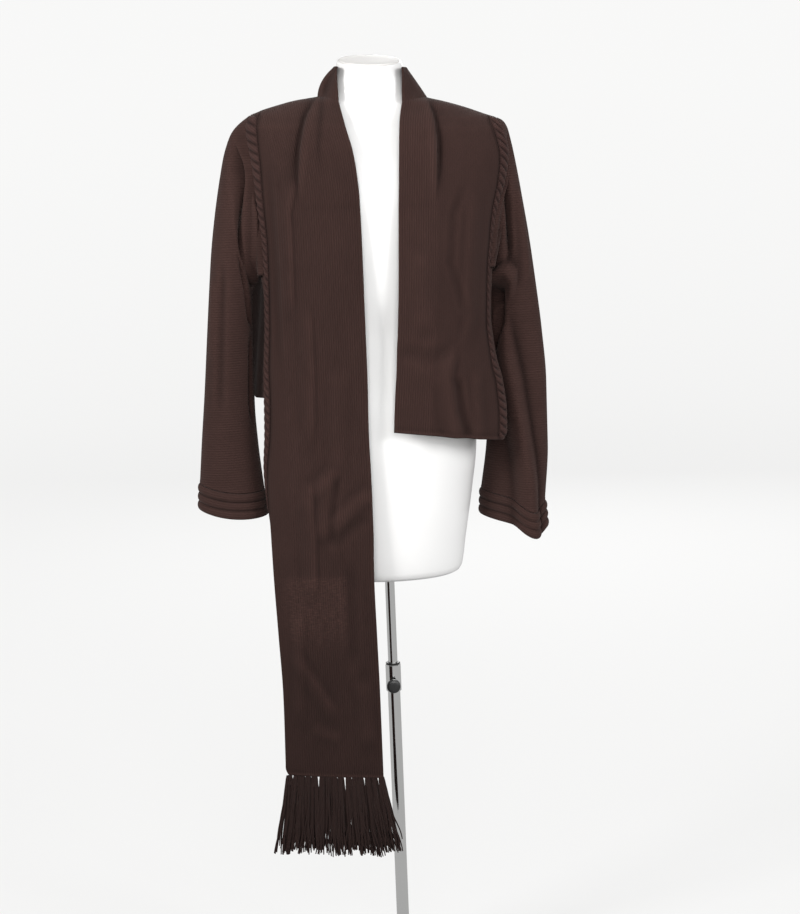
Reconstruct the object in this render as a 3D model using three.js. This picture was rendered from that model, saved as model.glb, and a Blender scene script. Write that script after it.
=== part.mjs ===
// A knit bolero on a headless, armless dress form with a chrome stand.
// Millimetres, +Z up. The wearer faces -Y, so the wearer's right side is at -X.
// The origin is on the floor, under the middle of the base plate.
import * as THREE from 'three';
import { mergeVertices } from 'three/addons/utils/BufferGeometryUtils.js';

// ---- Driving sizes ----
const CLOTH = 2.2; // thickness of the knitted wall
const SEAM = 0.3; // gap between neighbouring pieces
const SIDE_SEAM = 2.4; // the same between the grids of a front and the back, whose facets differ
const LEAN = 0.045; // slope by which the wearer's left shoulder sits lower
const LEAN_FROM = 1250; // height where that slope starts
const LEAN_FULL = 1450; // height where it is complete
const NECK_HALF = { right: 82, left: 88 }; // half-widths of the neckline on the shoulder ridge
const NAPE = 1489; // height of the neckline at the back
const NAPE_DEPTH = 62; // how far behind the middle the neckline runs there
const FRONT_NECK = 1482; // height of the fronts' upper corners, at the free edges
const ARMPIT = 1215; // height of the underarm
const EDGE_CROWDING = 1.15; // how much closer a front's columns lie towards its outer edge
const BACK_WRAP = THREE.MathUtils.degToRad(118); // how far round the body the back reaches at each side
const FRONT_WIDTH = 168; // width of a front's flat cut below the collar
const FLOOR_GAP = 0.3; // gap between stacked pieces of the stand

// ---- Tables with named columns ----
function table(columns, rows) {
  const names = columns.split(' ');
  return rows.map((row) => Object.fromEntries(names.map((name, i) => [name, row[i]])));
}

// Horizontal rings of the form: half-width, depth forwards and backwards, and how far forward it is centred.
const formRings = table('height half front back shift', [
  [702, 112, 72, 78, 0],
  [706, 119, 79, 85, 0],
  [716, 124, 84, 90, 0],
  [760, 131, 90, 98, 0],
  [840, 144, 95, 108, 0],
  [920, 154, 97, 114, 0],
  [970, 155, 96, 112, 0],
  [1040, 142, 92, 98, 0],
  [1110, 126, 90, 84, 0],
  [1180, 130, 96, 82, 0],
  [1260, 144, 102, 90, 0],
  [1320, 158, 104, 98, 0],
  [1370, 171, 100, 99, 0],
  [1410, 183, 91, 94, 0],
  [1440, 188, 81, 86, 0],
  [1456, 184, 70, 75, 0],
  [1463, 178, 66.2, 70.7, 0],
  [1473, 149, 61.2, 64.7, 0],
  [1480.5, 117, 58, 58.9, 0],
  [1486.5, 83, 54.4, 54.9, 0],
  [1495, 71, 51.5, 55.5, 0],
  [1504, 65, 49.5, 53, 1],
  [1516, 60, 49, 51, 3],
  [1532, 55.5, 49, 49, 5],
  [1549, 52, 50, 49, 7],
]);

// Inner face of the garment at the front: half-widths to the wearer's right and left, depth, squareness.
const frontRings = table('height right left depth square', [
  [384, 270, 210, 113, 4],
  [600, 246, 210, 113, 4],
  [760, 220, 210, 113, 3.9],
  [820, 206, 210, 113, 3.6],
  [880, 202, 209, 113, 3.4],
  [950, 199, 209, 113, 3.2],
  [1050, 195, 201, 113, 3],
  [1130, 191, 187, 113, 2.9],
  [1200, 190, 189, 113, 2.8],
  [1250, 190, 194, 113, 2.8],
  [1320, 196, 205, 111, 2.7],
  [1370, 200, 216, 106, 2.6],
  [1410, 204, 221, 97, 2.5],
  [1440, 206, 216, 86, 2.3],
  [1457, 196, 203, 75.5, 2.1],
  [1465, 180, 180, 70, 2.05],
  [1475, 150, 150, 65, 2],
  [1483, 120, 120, 61.5, 2],
  [1490, 82, 88, 58, 2],
  [1497, 66, 66, 54, 2],
]);

// The same at the back, where the body is fuller at its sides below the arms.
const backRings = table('height right left depth square', [
  [940, 212, 156, 116, 2.7],
  [1000, 210, 157, 114, 2.7],
  [1080, 200, 160, 111, 2.7],
  [1150, 190, 162, 108, 2.7],
  [1215, 184, 172, 107, 2.7],
  [1260, 186, 188, 106, 2.7],
  [1320, 196, 205, 107, 2.7],
  [1370, 200, 216, 105, 2.6],
  [1410, 204, 221, 99, 2.5],
  [1440, 206, 216, 89, 2.3],
  [1457, 196, 203, 80.5, 2.1],
  [1465, 180, 180, 76, 2.05],
  [1475, 150, 150, 70, 2],
  [1483, 120, 120, 65.5, 2],
  [1490, 82, 88, 62, 2],
  [1497, 66, 66, 60, 2],
]);

// Free edge and outer edge of the long front, as distances from the middle.
const rightEdges = table('height inner outer', [
  [384, 22, 184],
  [516, 22, 182],
  [619, 23, 185],
  [712, 24, 188],
  [800, 22, 190],
  [830, 22, 193],
  [887, 22, 196],
  [953, 23, 191],
  [1058, 21.5, 187],
  [1131, 21.5, 182],
  [1250, 21.5, 179],
  [1334, 22.5, 186],
  [1379, 26, 190],
  [1408, 30.5, 195],
  [1440, 39.5, 199],
  [1458, 44, 194],
  [1482, 50, 192],
]);

// Free edge and outer edge of the short front.
const leftEdges = table('height inner outer', [
  [930, 16, 198],
  [968, 18, 199],
  [1023, 22, 193],
  [1056, 25, 184],
  [1089, 27, 179],
  [1120, 29.5, 176],
  [1201, 34, 179],
  [1281, 37, 188],
  [1319, 38.5, 197],
  [1351, 40, 207],
  [1399, 42, 215],
  [1430, 43.5, 210],
  [1457, 45.5, 201],
  [1482, 50, 200],
]);

// Line where the rolled collar band ends on each front, and how far the band stands proud of it.
const collarLine = table('height right left rise', [
  [1340, 118, 97, 0],
  [1375, 115, 99, 2.5],
  [1421, 109, 100, 5.5],
  [1460, 99, 97, 6],
  [1490, 86, 88, 0],
]);

// Soft vertical folds of the fronts: place, ends, half-width and height (a trough is negative).
const frontFolds = table('side top bottom atTop atBottom half rise', [
  [-1, 1330, 1170, 138, 132, 12, 3.5],
  [-1, 1210, 960, 112, 120, 16, 2.5],
  [-1, 900, 690, 74, 104, 15, -3.5],
  [-1, 850, 640, 62, 48, 14, 3],
  [1, 1390, 1230, 150, 140, 12, -3],
  [1, 1270, 1080, 122, 134, 14, 4.5],
  [1, 1130, 935, 128, 118, 15, 5],
  [1, 1020, 935, 150, 142, 12, -4],
]);

// How far the back billows sideways behind each sleeve, widest at an angle from straight behind,
// and how deep it is tucked in beside the right side seam.
const backBulge = table('height right left', [
  [1000, 10, 0],
  [1050, 24, 1],
  [1080, 33, 2],
  [1150, 40, 3],
  [1200, 32, 1],
  [1240, 12, 0],
  [1270, 0, 0],
]);
const BULGE = { angle: 63, half: 30 };
const TUCK = { angle: 104, half: 15, deep: 9 };

// Folds of the back, fuller below the shoulder blades.
const backFolds = table('top bottom atTop atBottom half rise', [
  [1400, 1010, -120, -132, 18, 4],
  [1360, 990, -42, -58, 22, -4],
  [1330, 985, 36, 30, 20, 4.5],
  [1385, 1000, 104, 118, 20, -3.5],
]);

// Sections of the empty sleeves from the shoulder down. Outer and inner are the section's two ends,
// forward is how far it is in front of the middle, deep its half-depth, and turn brings its outer
// end forward.
const rightSleeve = table('along outer outerHeight inner innerHeight forward deep turn', [
  [0, 204, 1457, 194, 1212, 6, 36, 0],
  [1, 222, 1447, 196, 1206, 8, 39, 0],
  [2, 238, 1413, 198, 1199, 12, 42, 2],
  [3, 248, 1370, 204, 1190, 17, 44, 4],
  [4, 258, 1316, 207, 1170, 21, 45, 9],
  [5, 267, 1254, 209, 1139, 24, 44, 13],
  [6, 274.5, 1184, 210, 1098, 25, 41, 13],
  [7, 282.5, 1104, 211, 1048, 25.5, 38.5, 12],
  [8, 290.5, 1024, 212, 994, 25.5, 37, 10],
  [9, 299.5, 944, 209.5, 934, 25, 36, 8],
  [10, 307, 873, 203, 858, 25, 38, 3],
]);
const leftSleeve = table('along outer outerHeight inner innerHeight forward deep turn', [
  [0, 207, 1450, 190, 1210, 0, 24, 0],
  [1, 217, 1436, 190, 1203, 0, 26, 2],
  [2, 225, 1410, 190, 1193, 0, 30, 5],
  [3, 232, 1372, 188, 1180, 0, 34, 9],
  [4, 240, 1320, 185, 1160, 0, 36, 14],
  [5, 249, 1256, 183, 1130, 0, 36, 20],
  [6, 257, 1184, 180, 1088, 2, 35, 24],
  [7, 265, 1104, 178, 1036, 0, 32, 27],
  [8, 270, 1020, 178, 980, 0, 32, 28],
  [9, 270, 918, 173, 912, 0, 33, 27],
  [10, 263, 820, 162, 838, 0, 34, 26],
]);

// Hollows and the long front corner that run down each sleeve: middle angle (0 at the outer end,
// 90 in front), stretch and size.
const sleeveFolds = table('side angleTop angleBottom from to half rise', [
  [-1, 92, 96, 1.5, 5.6, 17, -11],
  [-1, 126, 118, 3, 6, 13, -7],
  [-1, 60, 66, 5, 8.6, 18, -3],
  [-1, 255, 268, 2, 7, 20, -8],
  [1, 96, 112, 2.2, 7, 16, -9],
  [1, 112, 44, 6, 13, 26, 21],
  [1, 138, 130, 2.6, 5.8, 14, -8],
  [1, 250, 262, 2, 7.5, 20, -8],
]);

// Cuffs: how far each lower edge is below the sleeve's end, and how much wider it is there.
const CUFF = { welts: 3, welt: 14.3, swell: 2.4, flare: 4 };

// The collar's roll: where its top edge runs, as a share of the neckline's width and depth.
const COLLAR = {
  topWide: 0.655, topDeep: 0.86, top: 1538, bow: 27, lap: 1.5, lift: 0.4, endWide: 1.05, endDeep: 0.8,
};

// The twisted border that lies on the outer margin of each front.
const CABLE = { thick: 3.4, edge: 1.5, lift: 0.7, rightEnd: 824 };
const cableWidths = table('height right left', [
  [824, 2, 17],
  [1000, 14, 15],
  [1080, 12, 9],
  [1250, 12, 8],
  [1320, 16, 13],
  [1440, 17, 17],
]);

// The fringe's reach: its height and where its two sides are.
const fringeReach = table('height from to', [
  [350, -193, -10],
  [285, -204, 3],
  [262, -208, 4],
  [242, -176, -28],
]);
const FRINGE_THICK = 12;
const FRINGE_FRONT = -119;

const STAND = {
  baseRadius: 165, baseThick: 10, hubRadius: 24, hubTop: 34,
  lowerRadius: 10.6, boreRadius: 8.4, lowerTop: 536,
  upperRadius: 8, upperFrom: 470, upperTop: 701.6,
  clampRadius: 13, clampFrom: 494, clampTop: 541,
  ringRadius: 12.2, ringThick: 3,
  knobHeight: 508, knobRadius: 11.5, knobLong: 16, stemRadius: 4.5,
};
const NECK_CAP = { thick: 3, tilt: 0.2, shrink: 0.94 };

// ---- Materials ----
const knit = new THREE.MeshStandardMaterial({ color: 0x3c2e2c, roughness: 0.95 });
const cable = new THREE.MeshStandardMaterial({ color: 0x44322f, roughness: 0.95 });
const white = new THREE.MeshStandardMaterial({ color: 0xf2f0ee, roughness: 0.4 });
const chrome = new THREE.MeshStandardMaterial({ color: 0xd8d8d6, roughness: 0.12, metalness: 1 });
const black = new THREE.MeshStandardMaterial({ color: 0x151515, roughness: 0.5 });

// ---- Small mathematics ----
const lerp = (from, to, share) => from + (to - from) * share;

function smooth(from, to, value) {
  const share = Math.min(1, Math.max(0, (value - from) / (to - from)));
  return share * share * (3 - 2 * share);
}

// Reads a column at any place of the table's key column, on a smooth curve that never overshoots.
function read(rows, key, place, column) {
  const last = rows.length - 1;
  if (place <= rows[0][key]) return rows[0][column];
  if (place >= rows[last][key]) return rows[last][column];
  let i = 0;
  while (place > rows[i + 1][key]) i += 1;
  const slope = (k) => (rows[k + 1][column] - rows[k][column]) / (rows[k + 1][key] - rows[k][key]);
  const tangent = (k) => {
    if (k === 0) return slope(0);
    if (k === last) return slope(last - 1);
    const product = slope(k - 1) * slope(k);
    return product <= 0 ? 0 : (2 * product) / (slope(k - 1) + slope(k));
  };
  const step = rows[i + 1][key] - rows[i][key];
  const t = (place - rows[i][key]) / step;
  const rest = 1 - t;
  return rows[i][column] * (1 + 2 * t) * rest * rest
    + rows[i + 1][column] * t * t * (3 - 2 * t)
    + step * (tangent(i) * t * rest * rest - tangent(i + 1) * t * t * rest);
}

// Tilts the shoulders: everything above the bust sinks towards the wearer's left.
function leaned(x, y, z) {
  return new THREE.Vector3(x, y, z - LEAN * x * smooth(LEAN_FROM, LEAN_FULL, z));
}

// A soft bump of height 1 in the middle of a fold and 0 beyond its half-width.
function bump(distance, half) {
  const share = Math.abs(distance) / half;
  return share >= 1 ? 0 : (1 - share * share) ** 2;
}

// ---- The body's surface ----
// Height of the shoulder ridge at a distance from the middle.
function ridgeHeight(across, sideName) {
  let low = 1440;
  let high = 1497;
  for (let i = 0; i < 40; i += 1) {
    const middle = (low + high) / 2;
    if (read(frontRings, 'height', middle, sideName) > across) low = middle;
    else high = middle;
  }
  return (low + high) / 2;
}

// Top edge of a front: the shoulder seam, then the neckline down to the free edge.
function frontTop(across, sideName) {
  const neckHalf = NECK_HALF[sideName];
  if (across >= neckHalf) return ridgeHeight(across, sideName);
  return lerp(FRONT_NECK, ridgeHeight(neckHalf, sideName), smooth(45, neckHalf, across));
}

function backTop(across, sideName) {
  return across >= NECK_HALF[sideName] ? ridgeHeight(across, sideName) : NAPE;
}

// Rise of a front's folds and of its collar band above the plain ring.
function frontRelief(side, across, height) {
  let rise = 0;
  for (const fold of frontFolds.filter((row) => row.side === side)) {
    const along = (fold.top - height) / (fold.top - fold.bottom);
    const place = lerp(fold.atTop, fold.atBottom, along);
    rise += fold.rise * bump(across - place, fold.half) * bump(along * 2 - 1, 1.12);
  }
  const line = read(collarLine, 'height', height, side < 0 ? 'right' : 'left');
  const band = read(collarLine, 'height', height, 'rise');
  return rise + band * smooth(line + 5, line - 5, across);
}

// Point of a front's inner face. The distance from the middle is positive on both sides.
function frontPoint(side, across, height) {
  const half = read(frontRings, 'height', height, side < 0 ? 'right' : 'left');
  const depth = read(frontRings, 'height', height, 'depth') + frontRelief(side, across, height);
  const square = read(frontRings, 'height', height, 'square');
  const share = Math.min(1, across / half) ** square;
  return leaned(side * across, -depth * (1 - share) ** (1 / square), height);
}

// Height and distance from the middle of a front's grid point. Across runs from the free edge to
// the outer one.
function frontPlace(side, across, down, bottomInner, bottomOuter) {
  const sideName = side < 0 ? 'right' : 'left';
  const edges = side < 0 ? rightEdges : leftEdges;
  const innerHeight = lerp(FRONT_NECK, bottomInner, down);
  const outerHeight = lerp(ridgeHeight(edges.at(-1).outer, sideName), bottomOuter, down);
  const inner = read(edges, 'height', innerHeight, 'inner');
  const outer = read(edges, 'height', outerHeight, 'outer');
  const share = 1 - (1 - across) ** EDGE_CROWDING;
  const top = frontTop(lerp(edges.at(-1).inner, edges.at(-1).outer, share), sideName);
  const bottom = lerp(bottomInner, bottomOuter, across);
  return { distance: lerp(inner, outer, share), height: lerp(top, bottom, down) };
}

// Rows crowd together at the shoulder, where the cloth turns over.
const crowded = (row, rows) => (row / rows) ** 1.6;

// Point of the back's inner face. Across runs from -1 at the wearer's right edge to 1 at the left.
function backPoint(across, down) {
  const side = across < 0 ? -1 : 1;
  const sideName = side < 0 ? 'right' : 'left';
  const share = Math.abs(across);
  const shoulder = (side < 0 ? rightEdges : leftEdges).at(-1).outer;
  const bottom = lerp(1000, side < 0 ? 1012 : 948, smooth(0.35, 1, share));
  const height = lerp(backTop(share * shoulder, sideName), bottom, down);
  const half = read(backRings, 'height', height, sideName);
  const square = read(backRings, 'height', height, 'square');
  const outer = lerp(shoulder, half * 0.94, smooth(0, 0.12, down));
  const upright = Math.asin(Math.min(1, (share * outer) / half) ** (square / 2));
  const wrap = smooth(1370, ARMPIT, height);
  const angle = lerp(upright, share * BACK_WRAP, wrap);
  const depth = read(backRings, 'height', height, 'depth');
  const turned = Math.abs(Math.cos(angle)) ** (2 / square);
  let x = side * half * Math.sin(angle) ** (2 / square);
  const bulge = read(backBulge, 'height', height, sideName);
  const degrees = THREE.MathUtils.radToDeg(angle);
  x += side * bulge * bump(degrees - BULGE.angle, BULGE.half);
  if (side < 0) x += TUCK.deep * bump(degrees - TUCK.angle, TUCK.half) * smooth(1230, 1150, height);
  let y = angle < Math.PI / 2 ? depth * turned : -depth * turned;
  for (const fold of backFolds) {
    const along = (fold.top - height) / (fold.top - fold.bottom);
    const place = lerp(fold.atTop, fold.atBottom, along);
    if (y > 0) y += fold.rise * bump(x - place, fold.half) * bump(along * 2 - 1, 1.3);
  }
  const edge = spotAtHeight(frontEdges[side], height).point;
  const ownEdge = {
    x: side * half * Math.sin(BACK_WRAP) ** (2 / square),
    y: -depth * Math.abs(Math.cos(BACK_WRAP)) ** (2 / square),
  };
  const near = smooth(0.62, 1, share);
  x += (edge.x - ownEdge.x) * near * smooth(ARMPIT + 110, ARMPIT + 15, height);
  y += (edge.y + SIDE_SEAM - ownEdge.y) * near * smooth(ARMPIT + 30, ARMPIT, height);
  return leaned(x, y, height);
}

// ---- Walls ----
// Builds a closed wall from a grid of points, offset along the surface's own normals.
// The grid's rows follow each other as "down" and its columns as "across".
function wall(grid, from, to, closed = false) {
  const rows = grid.length;
  const columns = grid[0].length;
  const point = (r, c) => grid[r][closed ? (c + columns) % columns : c];
  const normal = (r, c) => {
    const downwards = new THREE.Vector3().subVectors(
      point(Math.min(rows - 1, r + 1), c), point(Math.max(0, r - 1), c));
    const sideways = closed
      ? new THREE.Vector3().subVectors(point(r, c + 1), point(r, c - 1))
      : new THREE.Vector3().subVectors(
        point(r, Math.min(columns - 1, c + 1)), point(r, Math.max(0, c - 1)));
    return downwards.cross(sideways).normalize();
  };
  const skin = (offset) => grid.map((row, r) => row.map((p, c) => {
    const reach = typeof offset === 'function' ? offset(r, c) : offset;
    return p.clone().addScaledVector(normal(r, c), reach);
  }));
  const inner = skin(from);
  const outer = skin(to);
  const triangles = [];
  const quad = (a, b, c, d) => triangles.push(a, b, c, a, c, d);
  const spans = closed ? columns : columns - 1;
  for (let r = 0; r < rows - 1; r += 1) {
    for (let c = 0; c < spans; c += 1) {
      const next = (c + 1) % columns;
      quad(outer[r][c], outer[r + 1][c], outer[r + 1][next], outer[r][next]);
      quad(inner[r][c], inner[r][next], inner[r + 1][next], inner[r + 1][c]);
    }
    if (!closed) {
      const end = columns - 1;
      quad(outer[r][0], inner[r][0], inner[r + 1][0], outer[r + 1][0]);
      quad(outer[r][end], outer[r + 1][end], inner[r + 1][end], inner[r][end]);
    }
  }
  for (let c = 0; c < spans; c += 1) {
    const next = (c + 1) % columns;
    quad(outer[0][c], outer[0][next], inner[0][next], inner[0][c]);
    quad(outer[rows - 1][c], inner[rows - 1][c], inner[rows - 1][next], outer[rows - 1][next]);
  }
  return fromTriangles(triangles);
}

// Turns a list of corner points into a geometry without the triangles that have no area.
function fromTriangles(corners) {
  const positions = [];
  for (let i = 0; i < corners.length; i += 3) {
    const [a, b, c] = [corners[i], corners[i + 1], corners[i + 2]];
    const flat = a.distanceTo(b) < 1e-3 || b.distanceTo(c) < 1e-3 || c.distanceTo(a) < 1e-3;
    if (!flat) for (const p of [a, b, c]) positions.push(p.x, p.y, p.z);
  }
  const geometry = new THREE.BufferGeometry();
  geometry.setAttribute('position', new THREE.Float32BufferAttribute(positions, 3));
  return mergeVertices(geometry, 1e-4);
}

// Builds a solid from closed rings, capped at both ends.
function stack(rings) {
  const triangles = [];
  const columns = rings[0].length;
  const middle = (ring) => ring.reduce((sum, p) => sum.add(p), new THREE.Vector3()).divideScalar(columns);
  for (let r = 0; r < rings.length - 1; r += 1) {
    for (let c = 0; c < columns; c += 1) {
      const next = (c + 1) % columns;
      triangles.push(rings[r][c], rings[r][next], rings[r + 1][next]);
      triangles.push(rings[r][c], rings[r + 1][next], rings[r + 1][c]);
    }
  }
  const [bottom, top] = [rings[0], rings.at(-1)];
  for (let c = 0; c < columns; c += 1) {
    const next = (c + 1) % columns;
    triangles.push(middle(bottom), bottom[next], bottom[c]);
    triangles.push(middle(top), top[c], top[next]);
  }
  return fromTriangles(triangles);
}

function grid(rows, columns, pointAt) {
  return Array.from({ length: rows + 1 }, (_, r) => (
    Array.from({ length: columns + 1 }, (__, c) => pointAt(r / rows, c / columns, r, c))));
}

// Grid of the back's inner face, from the wearer's left edge to the right one.
function backGrid() {
  return grid(BACK.rows, BACK.columns, (v, u, r) => {
    const p = backPoint(lerp(1, -1, u), crowded(r, BACK.rows));
    if (r === 0) p.y += SEAM / 2;
    return p;
  });
}

// ---- Pieces of the garment ----
const RIGHT = { side: -1, rows: 28, columns: 12, bottomInner: 378, bottomOuter: 388 };
const LEFT = { side: 1, rows: 17, columns: 11, bottomInner: 958, bottomOuter: 932 };
const BACK = { rows: 15, columns: 26 };
const SLEEVE = { rings: 15, columns: 22, gapTop: 3.1, gapUnder: 4.6, push: 9 };

// Grid of one front's inner face. The columns run so that the normals point out of the body.
// The share where it starts depends on the height: 0 is the free edge, 1 the outer one.
function frontGrid(cut, fromShare = () => 0, toShare = 1, columns = cut.columns, untilHeight = 0) {
  const points = [];
  for (let r = 0; r <= cut.rows; r += 1) {
    const down = crowded(r, cut.rows);
    const edge = frontPlace(cut.side, 1, down, cut.bottomInner, cut.bottomOuter);
    const row = [];
    for (let c = 0; c <= columns; c += 1) {
      const across = lerp(fromShare(edge.height), toShare, c / columns);
      const place = frontPlace(cut.side, across, down, cut.bottomInner, cut.bottomOuter);
      const p = frontPoint(cut.side, place.distance, place.height);
      if (r === 0) p.y -= SEAM / 2;
      row.push(p);
    }
    if (row[0].z < untilHeight) break;
    points.push(cut.side < 0 ? row.reverse() : row);
  }
  return points;
}

// One edge of a panel from the top down: its points, the way out of the body, and the way off the panel.
function edgeOf(panel, column, neighbour) {
  const inside = new THREE.Vector3(0, 0, 1330);
  return panel.map((row, r) => {
    const point = row[column];
    const along = new THREE.Vector3().subVectors(
      panel[Math.min(r + 1, panel.length - 1)][column], panel[Math.max(r - 1, 0)][column]);
    const onto = new THREE.Vector3().subVectors(row[neighbour], point);
    const out = along.clone().cross(onto).normalize();
    if (out.dot(point.clone().sub(inside)) < 0) out.negate();
    const away = along.clone().cross(out).normalize();
    if (away.dot(onto) > 0) away.negate();
    return { point, out, away };
  });
}

function spotAtHeight(edge, height) {
  let i = 0;
  while (i < edge.length - 2 && edge[i + 1].point.z > height) i += 1;
  const [high, low] = [edge[i], edge[i + 1]];
  const share = Math.min(1, Math.max(0, (high.point.z - height) / (high.point.z - low.point.z)));
  const between = (name) => high[name].clone().lerp(low[name], share);
  return { point: between('point'), out: between('out').normalize(), away: between('away').normalize() };
}

// Outer edges kept by side: -1 is the wearer's right, 1 the left.
const rightPanel = frontGrid(RIGHT);
const leftPanel = frontGrid(LEFT);
const frontEdges = {
  [-1]: edgeOf(rightPanel, 0, 1),
  1: edgeOf(leftPanel, LEFT.columns, LEFT.columns - 1),
};
const backPanel = backGrid();
const backEdges = {
  [-1]: edgeOf(backPanel, BACK.columns, BACK.columns - 1),
  1: edgeOf(backPanel, 0, 1),
};

// The twisted border: a raised strip along the outer margin.
function cableStrip(cut, untilHeight) {
  const sideName = cut.side < 0 ? 'right' : 'left';
  const startShare = (height) => 1 - read(cableWidths, 'height', height, sideName) / FRONT_WIDTH;
  const points = frontGrid(cut, startShare, 0.995, 3, untilHeight);
  const low = CLOTH + CABLE.lift;
  const crown = (_, c) => low + (c === 0 || c === 3 ? CABLE.edge : CABLE.thick);
  return wall(points.slice(1), low, crown);
}

// Neckline on the body, from the short front round the nape to the long front. The first and last
// stretch lie on the fronts.
function necklinePoint(share) {
  const turn = lerp(-1, 1, share);
  const side = turn < 0 ? 1 : -1;
  const sideName = side < 0 ? 'right' : 'left';
  const reach = Math.abs(turn);
  const backShare = 0.7;
  const wide = NECK_HALF[sideName];
  if (reach > backShare) {
    const along = (reach - backShare) / (1 - backShare);
    const across = lerp(wide, rightEdges.at(-1).inner, along ** 1.6);
    return frontPoint(side, across, frontTop(across, sideName));
  }
  const angle = (reach / backShare) * (Math.PI / 2);
  return leaned(side * wide * Math.sin(angle), NAPE_DEPTH * Math.cos(angle), NAPE);
}

// The collar stands on the neckline and rolls in towards the neck, rounder on the wearer's right.
function collar() {
  const points = grid(5, 28, (v, u) => {
    const foot = necklinePoint(u);
    const outwards = new THREE.Vector3(foot.x, foot.y, 0).normalize();
    foot.addScaledVector(outwards, COLLAR.lap);
    foot.z += CLOTH + COLLAR.lift;
    const end = Math.abs(u * 2 - 1) ** 12;
    const wide = lerp(COLLAR.topWide, COLLAR.endWide, end);
    const deep = lerp(COLLAR.topDeep, COLLAR.endDeep, end);
    const top = leaned(foot.x * wide, foot.y * deep, COLLAR.top);
    const upright = new THREE.Vector3(foot.x, foot.y, foot.z + COLLAR.bow);
    const bow = foot.clone().lerp(top, 0.5).lerp(upright, smooth(0.05, 0.7, u));
    const rise = 1 - v;
    return foot.clone().multiplyScalar(v * v)
      .addScaledVector(bow, 2 * v * rise)
      .addScaledVector(top, rise * rise);
  });
  return wall(points, 0, CLOTH);
}

// Armhole as a closed loop in the middle of the wall: 0 at the shoulder, forwards to 0.5 at the
// underarm, and up the back. It keeps clear of the panels' own edges.
function armhole(side, turn) {
  const edge = turn <= 0.5 ? frontEdges[side] : backEdges[side];
  const lastTurn = 1 - 1 / SLEEVE.columns;
  const down = turn <= 0.5 ? turn * 2 : (lastTurn - turn) / (lastTurn - 0.5);
  const slow = Math.sin((down * Math.PI) / 2) ** 1.5;
  const spot = spotAtHeight(edge, lerp(edge[0].point.z, ARMPIT, lerp(down, slow, 0.4)));
  const under = smooth(0.5, 0.95, down);
  return spot.point
    .addScaledVector(spot.out, CLOTH / 2 + SLEEVE.gapUnder * under)
    .addScaledVector(spot.away, SLEEVE.gapTop * (1 - under));
}

// One ring of a sleeve. The angle is 0 at the outer end and a quarter turn in front.
function sleevePoint(side, rows, along, angle) {
  const value = (column) => read(rows, 'along', along, column);
  const turn = THREE.MathUtils.degToRad(value('turn'));
  const wide = (value('outer') - value('inner')) / 2;
  const tall = (value('outerHeight') - value('innerHeight')) / 2;
  let rise = 0;
  for (const fold of sleeveFolds.filter((row) => row.side === side)) {
    const share = (along - fold.from) / (fold.to - fold.from);
    const place = lerp(fold.angleTop, fold.angleBottom, share);
    const apart = THREE.MathUtils.radToDeg(angle) - place;
    rise += fold.rise * bump(apart, fold.half) * bump(share * 2 - 1, 1.15);
  }
  const deep = value('deep');
  const across = Math.cos(angle);
  const ahead = Math.sin(angle);
  const middle = (value('outer') + value('inner')) / 2;
  const slant = Math.sin(turn) * 0.55;
  const outX = deep * across * Math.cos(turn) - wide * Math.tan(turn) * ahead;
  const outY = -wide * ahead - slant * deep * across;
  const push = rise / Math.hypot(outX, outY);
  const sag = side < 0
    ? 6 * Math.max(0, ahead) ** 2
    : 17 * Math.exp(-(((THREE.MathUtils.radToDeg(angle) - 44) / 26) ** 2));
  return new THREE.Vector3(
    side * (middle + wide * across - deep * ahead * slant + push * outX),
    -value('forward') - deep * ahead * Math.cos(turn) - wide * Math.tan(turn) * across + push * outY,
    (value('outerHeight') + value('innerHeight')) / 2 + tall * across - sag * smooth(7.5, 10, along),
  );
}

function sleeveRing(side, rows, along) {
  return Array.from({ length: SLEEVE.columns }, (_, c) => {
    const turn = c / SLEEVE.columns;
    const section = sleevePoint(side, rows, along, turn * 2 * Math.PI);
    const high = smooth(0.3, 0.9, Math.cos(turn * 2 * Math.PI));
    const hold = smooth(lerp(3.2, 1.3, high), lerp(0.4, 0, high), along);
    if (hold === 0) return section;
    const edge = armhole(side, turn);
    edge.x += side * SLEEVE.push * smooth(0, 1.1, along);
    return section.lerp(edge, hold);
  });
}

function sleeve(side, rows) {
  const rings = [];
  for (let r = 0; r <= SLEEVE.rings; r += 1) {
    const ring = sleeveRing(side, rows, 10 * (r / SLEEVE.rings) ** 1.1);
    rings.push(side < 0 ? ring : ring.reverse());
  }
  return wall(rings, -CLOTH / 2, CLOTH / 2, true);
}

// Three turned welts below the sleeve's last ring.
function cuff(side, rows) {
  const steps = CUFF.welts * 3;
  const last = sleeveRing(side, rows, 10);
  const middle = last.reduce((sum, p) => sum.add(p), new THREE.Vector3()).divideScalar(last.length);
  const rings = [];
  for (let r = 0; r <= steps; r += 1) {
    const share = r / steps;
    const ring = last.map((p) => {
      const outwards = new THREE.Vector3(p.x - middle.x, p.y - middle.y, 0);
      const wider = 1 + (CUFF.flare * share) / outwards.length();
      return new THREE.Vector3(
        middle.x + outwards.x * wider,
        middle.y + outwards.y * wider,
        p.z - 2 * SEAM - share * CUFF.welts * CUFF.welt,
      );
    });
    rings.push(side < 0 ? ring : ring.reverse());
  }
  const swell = (r) => CLOTH / 2 + (r % 3 === 0 ? 0 : CUFF.swell);
  return wall(rings, -CLOTH / 2, swell, true);
}

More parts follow.
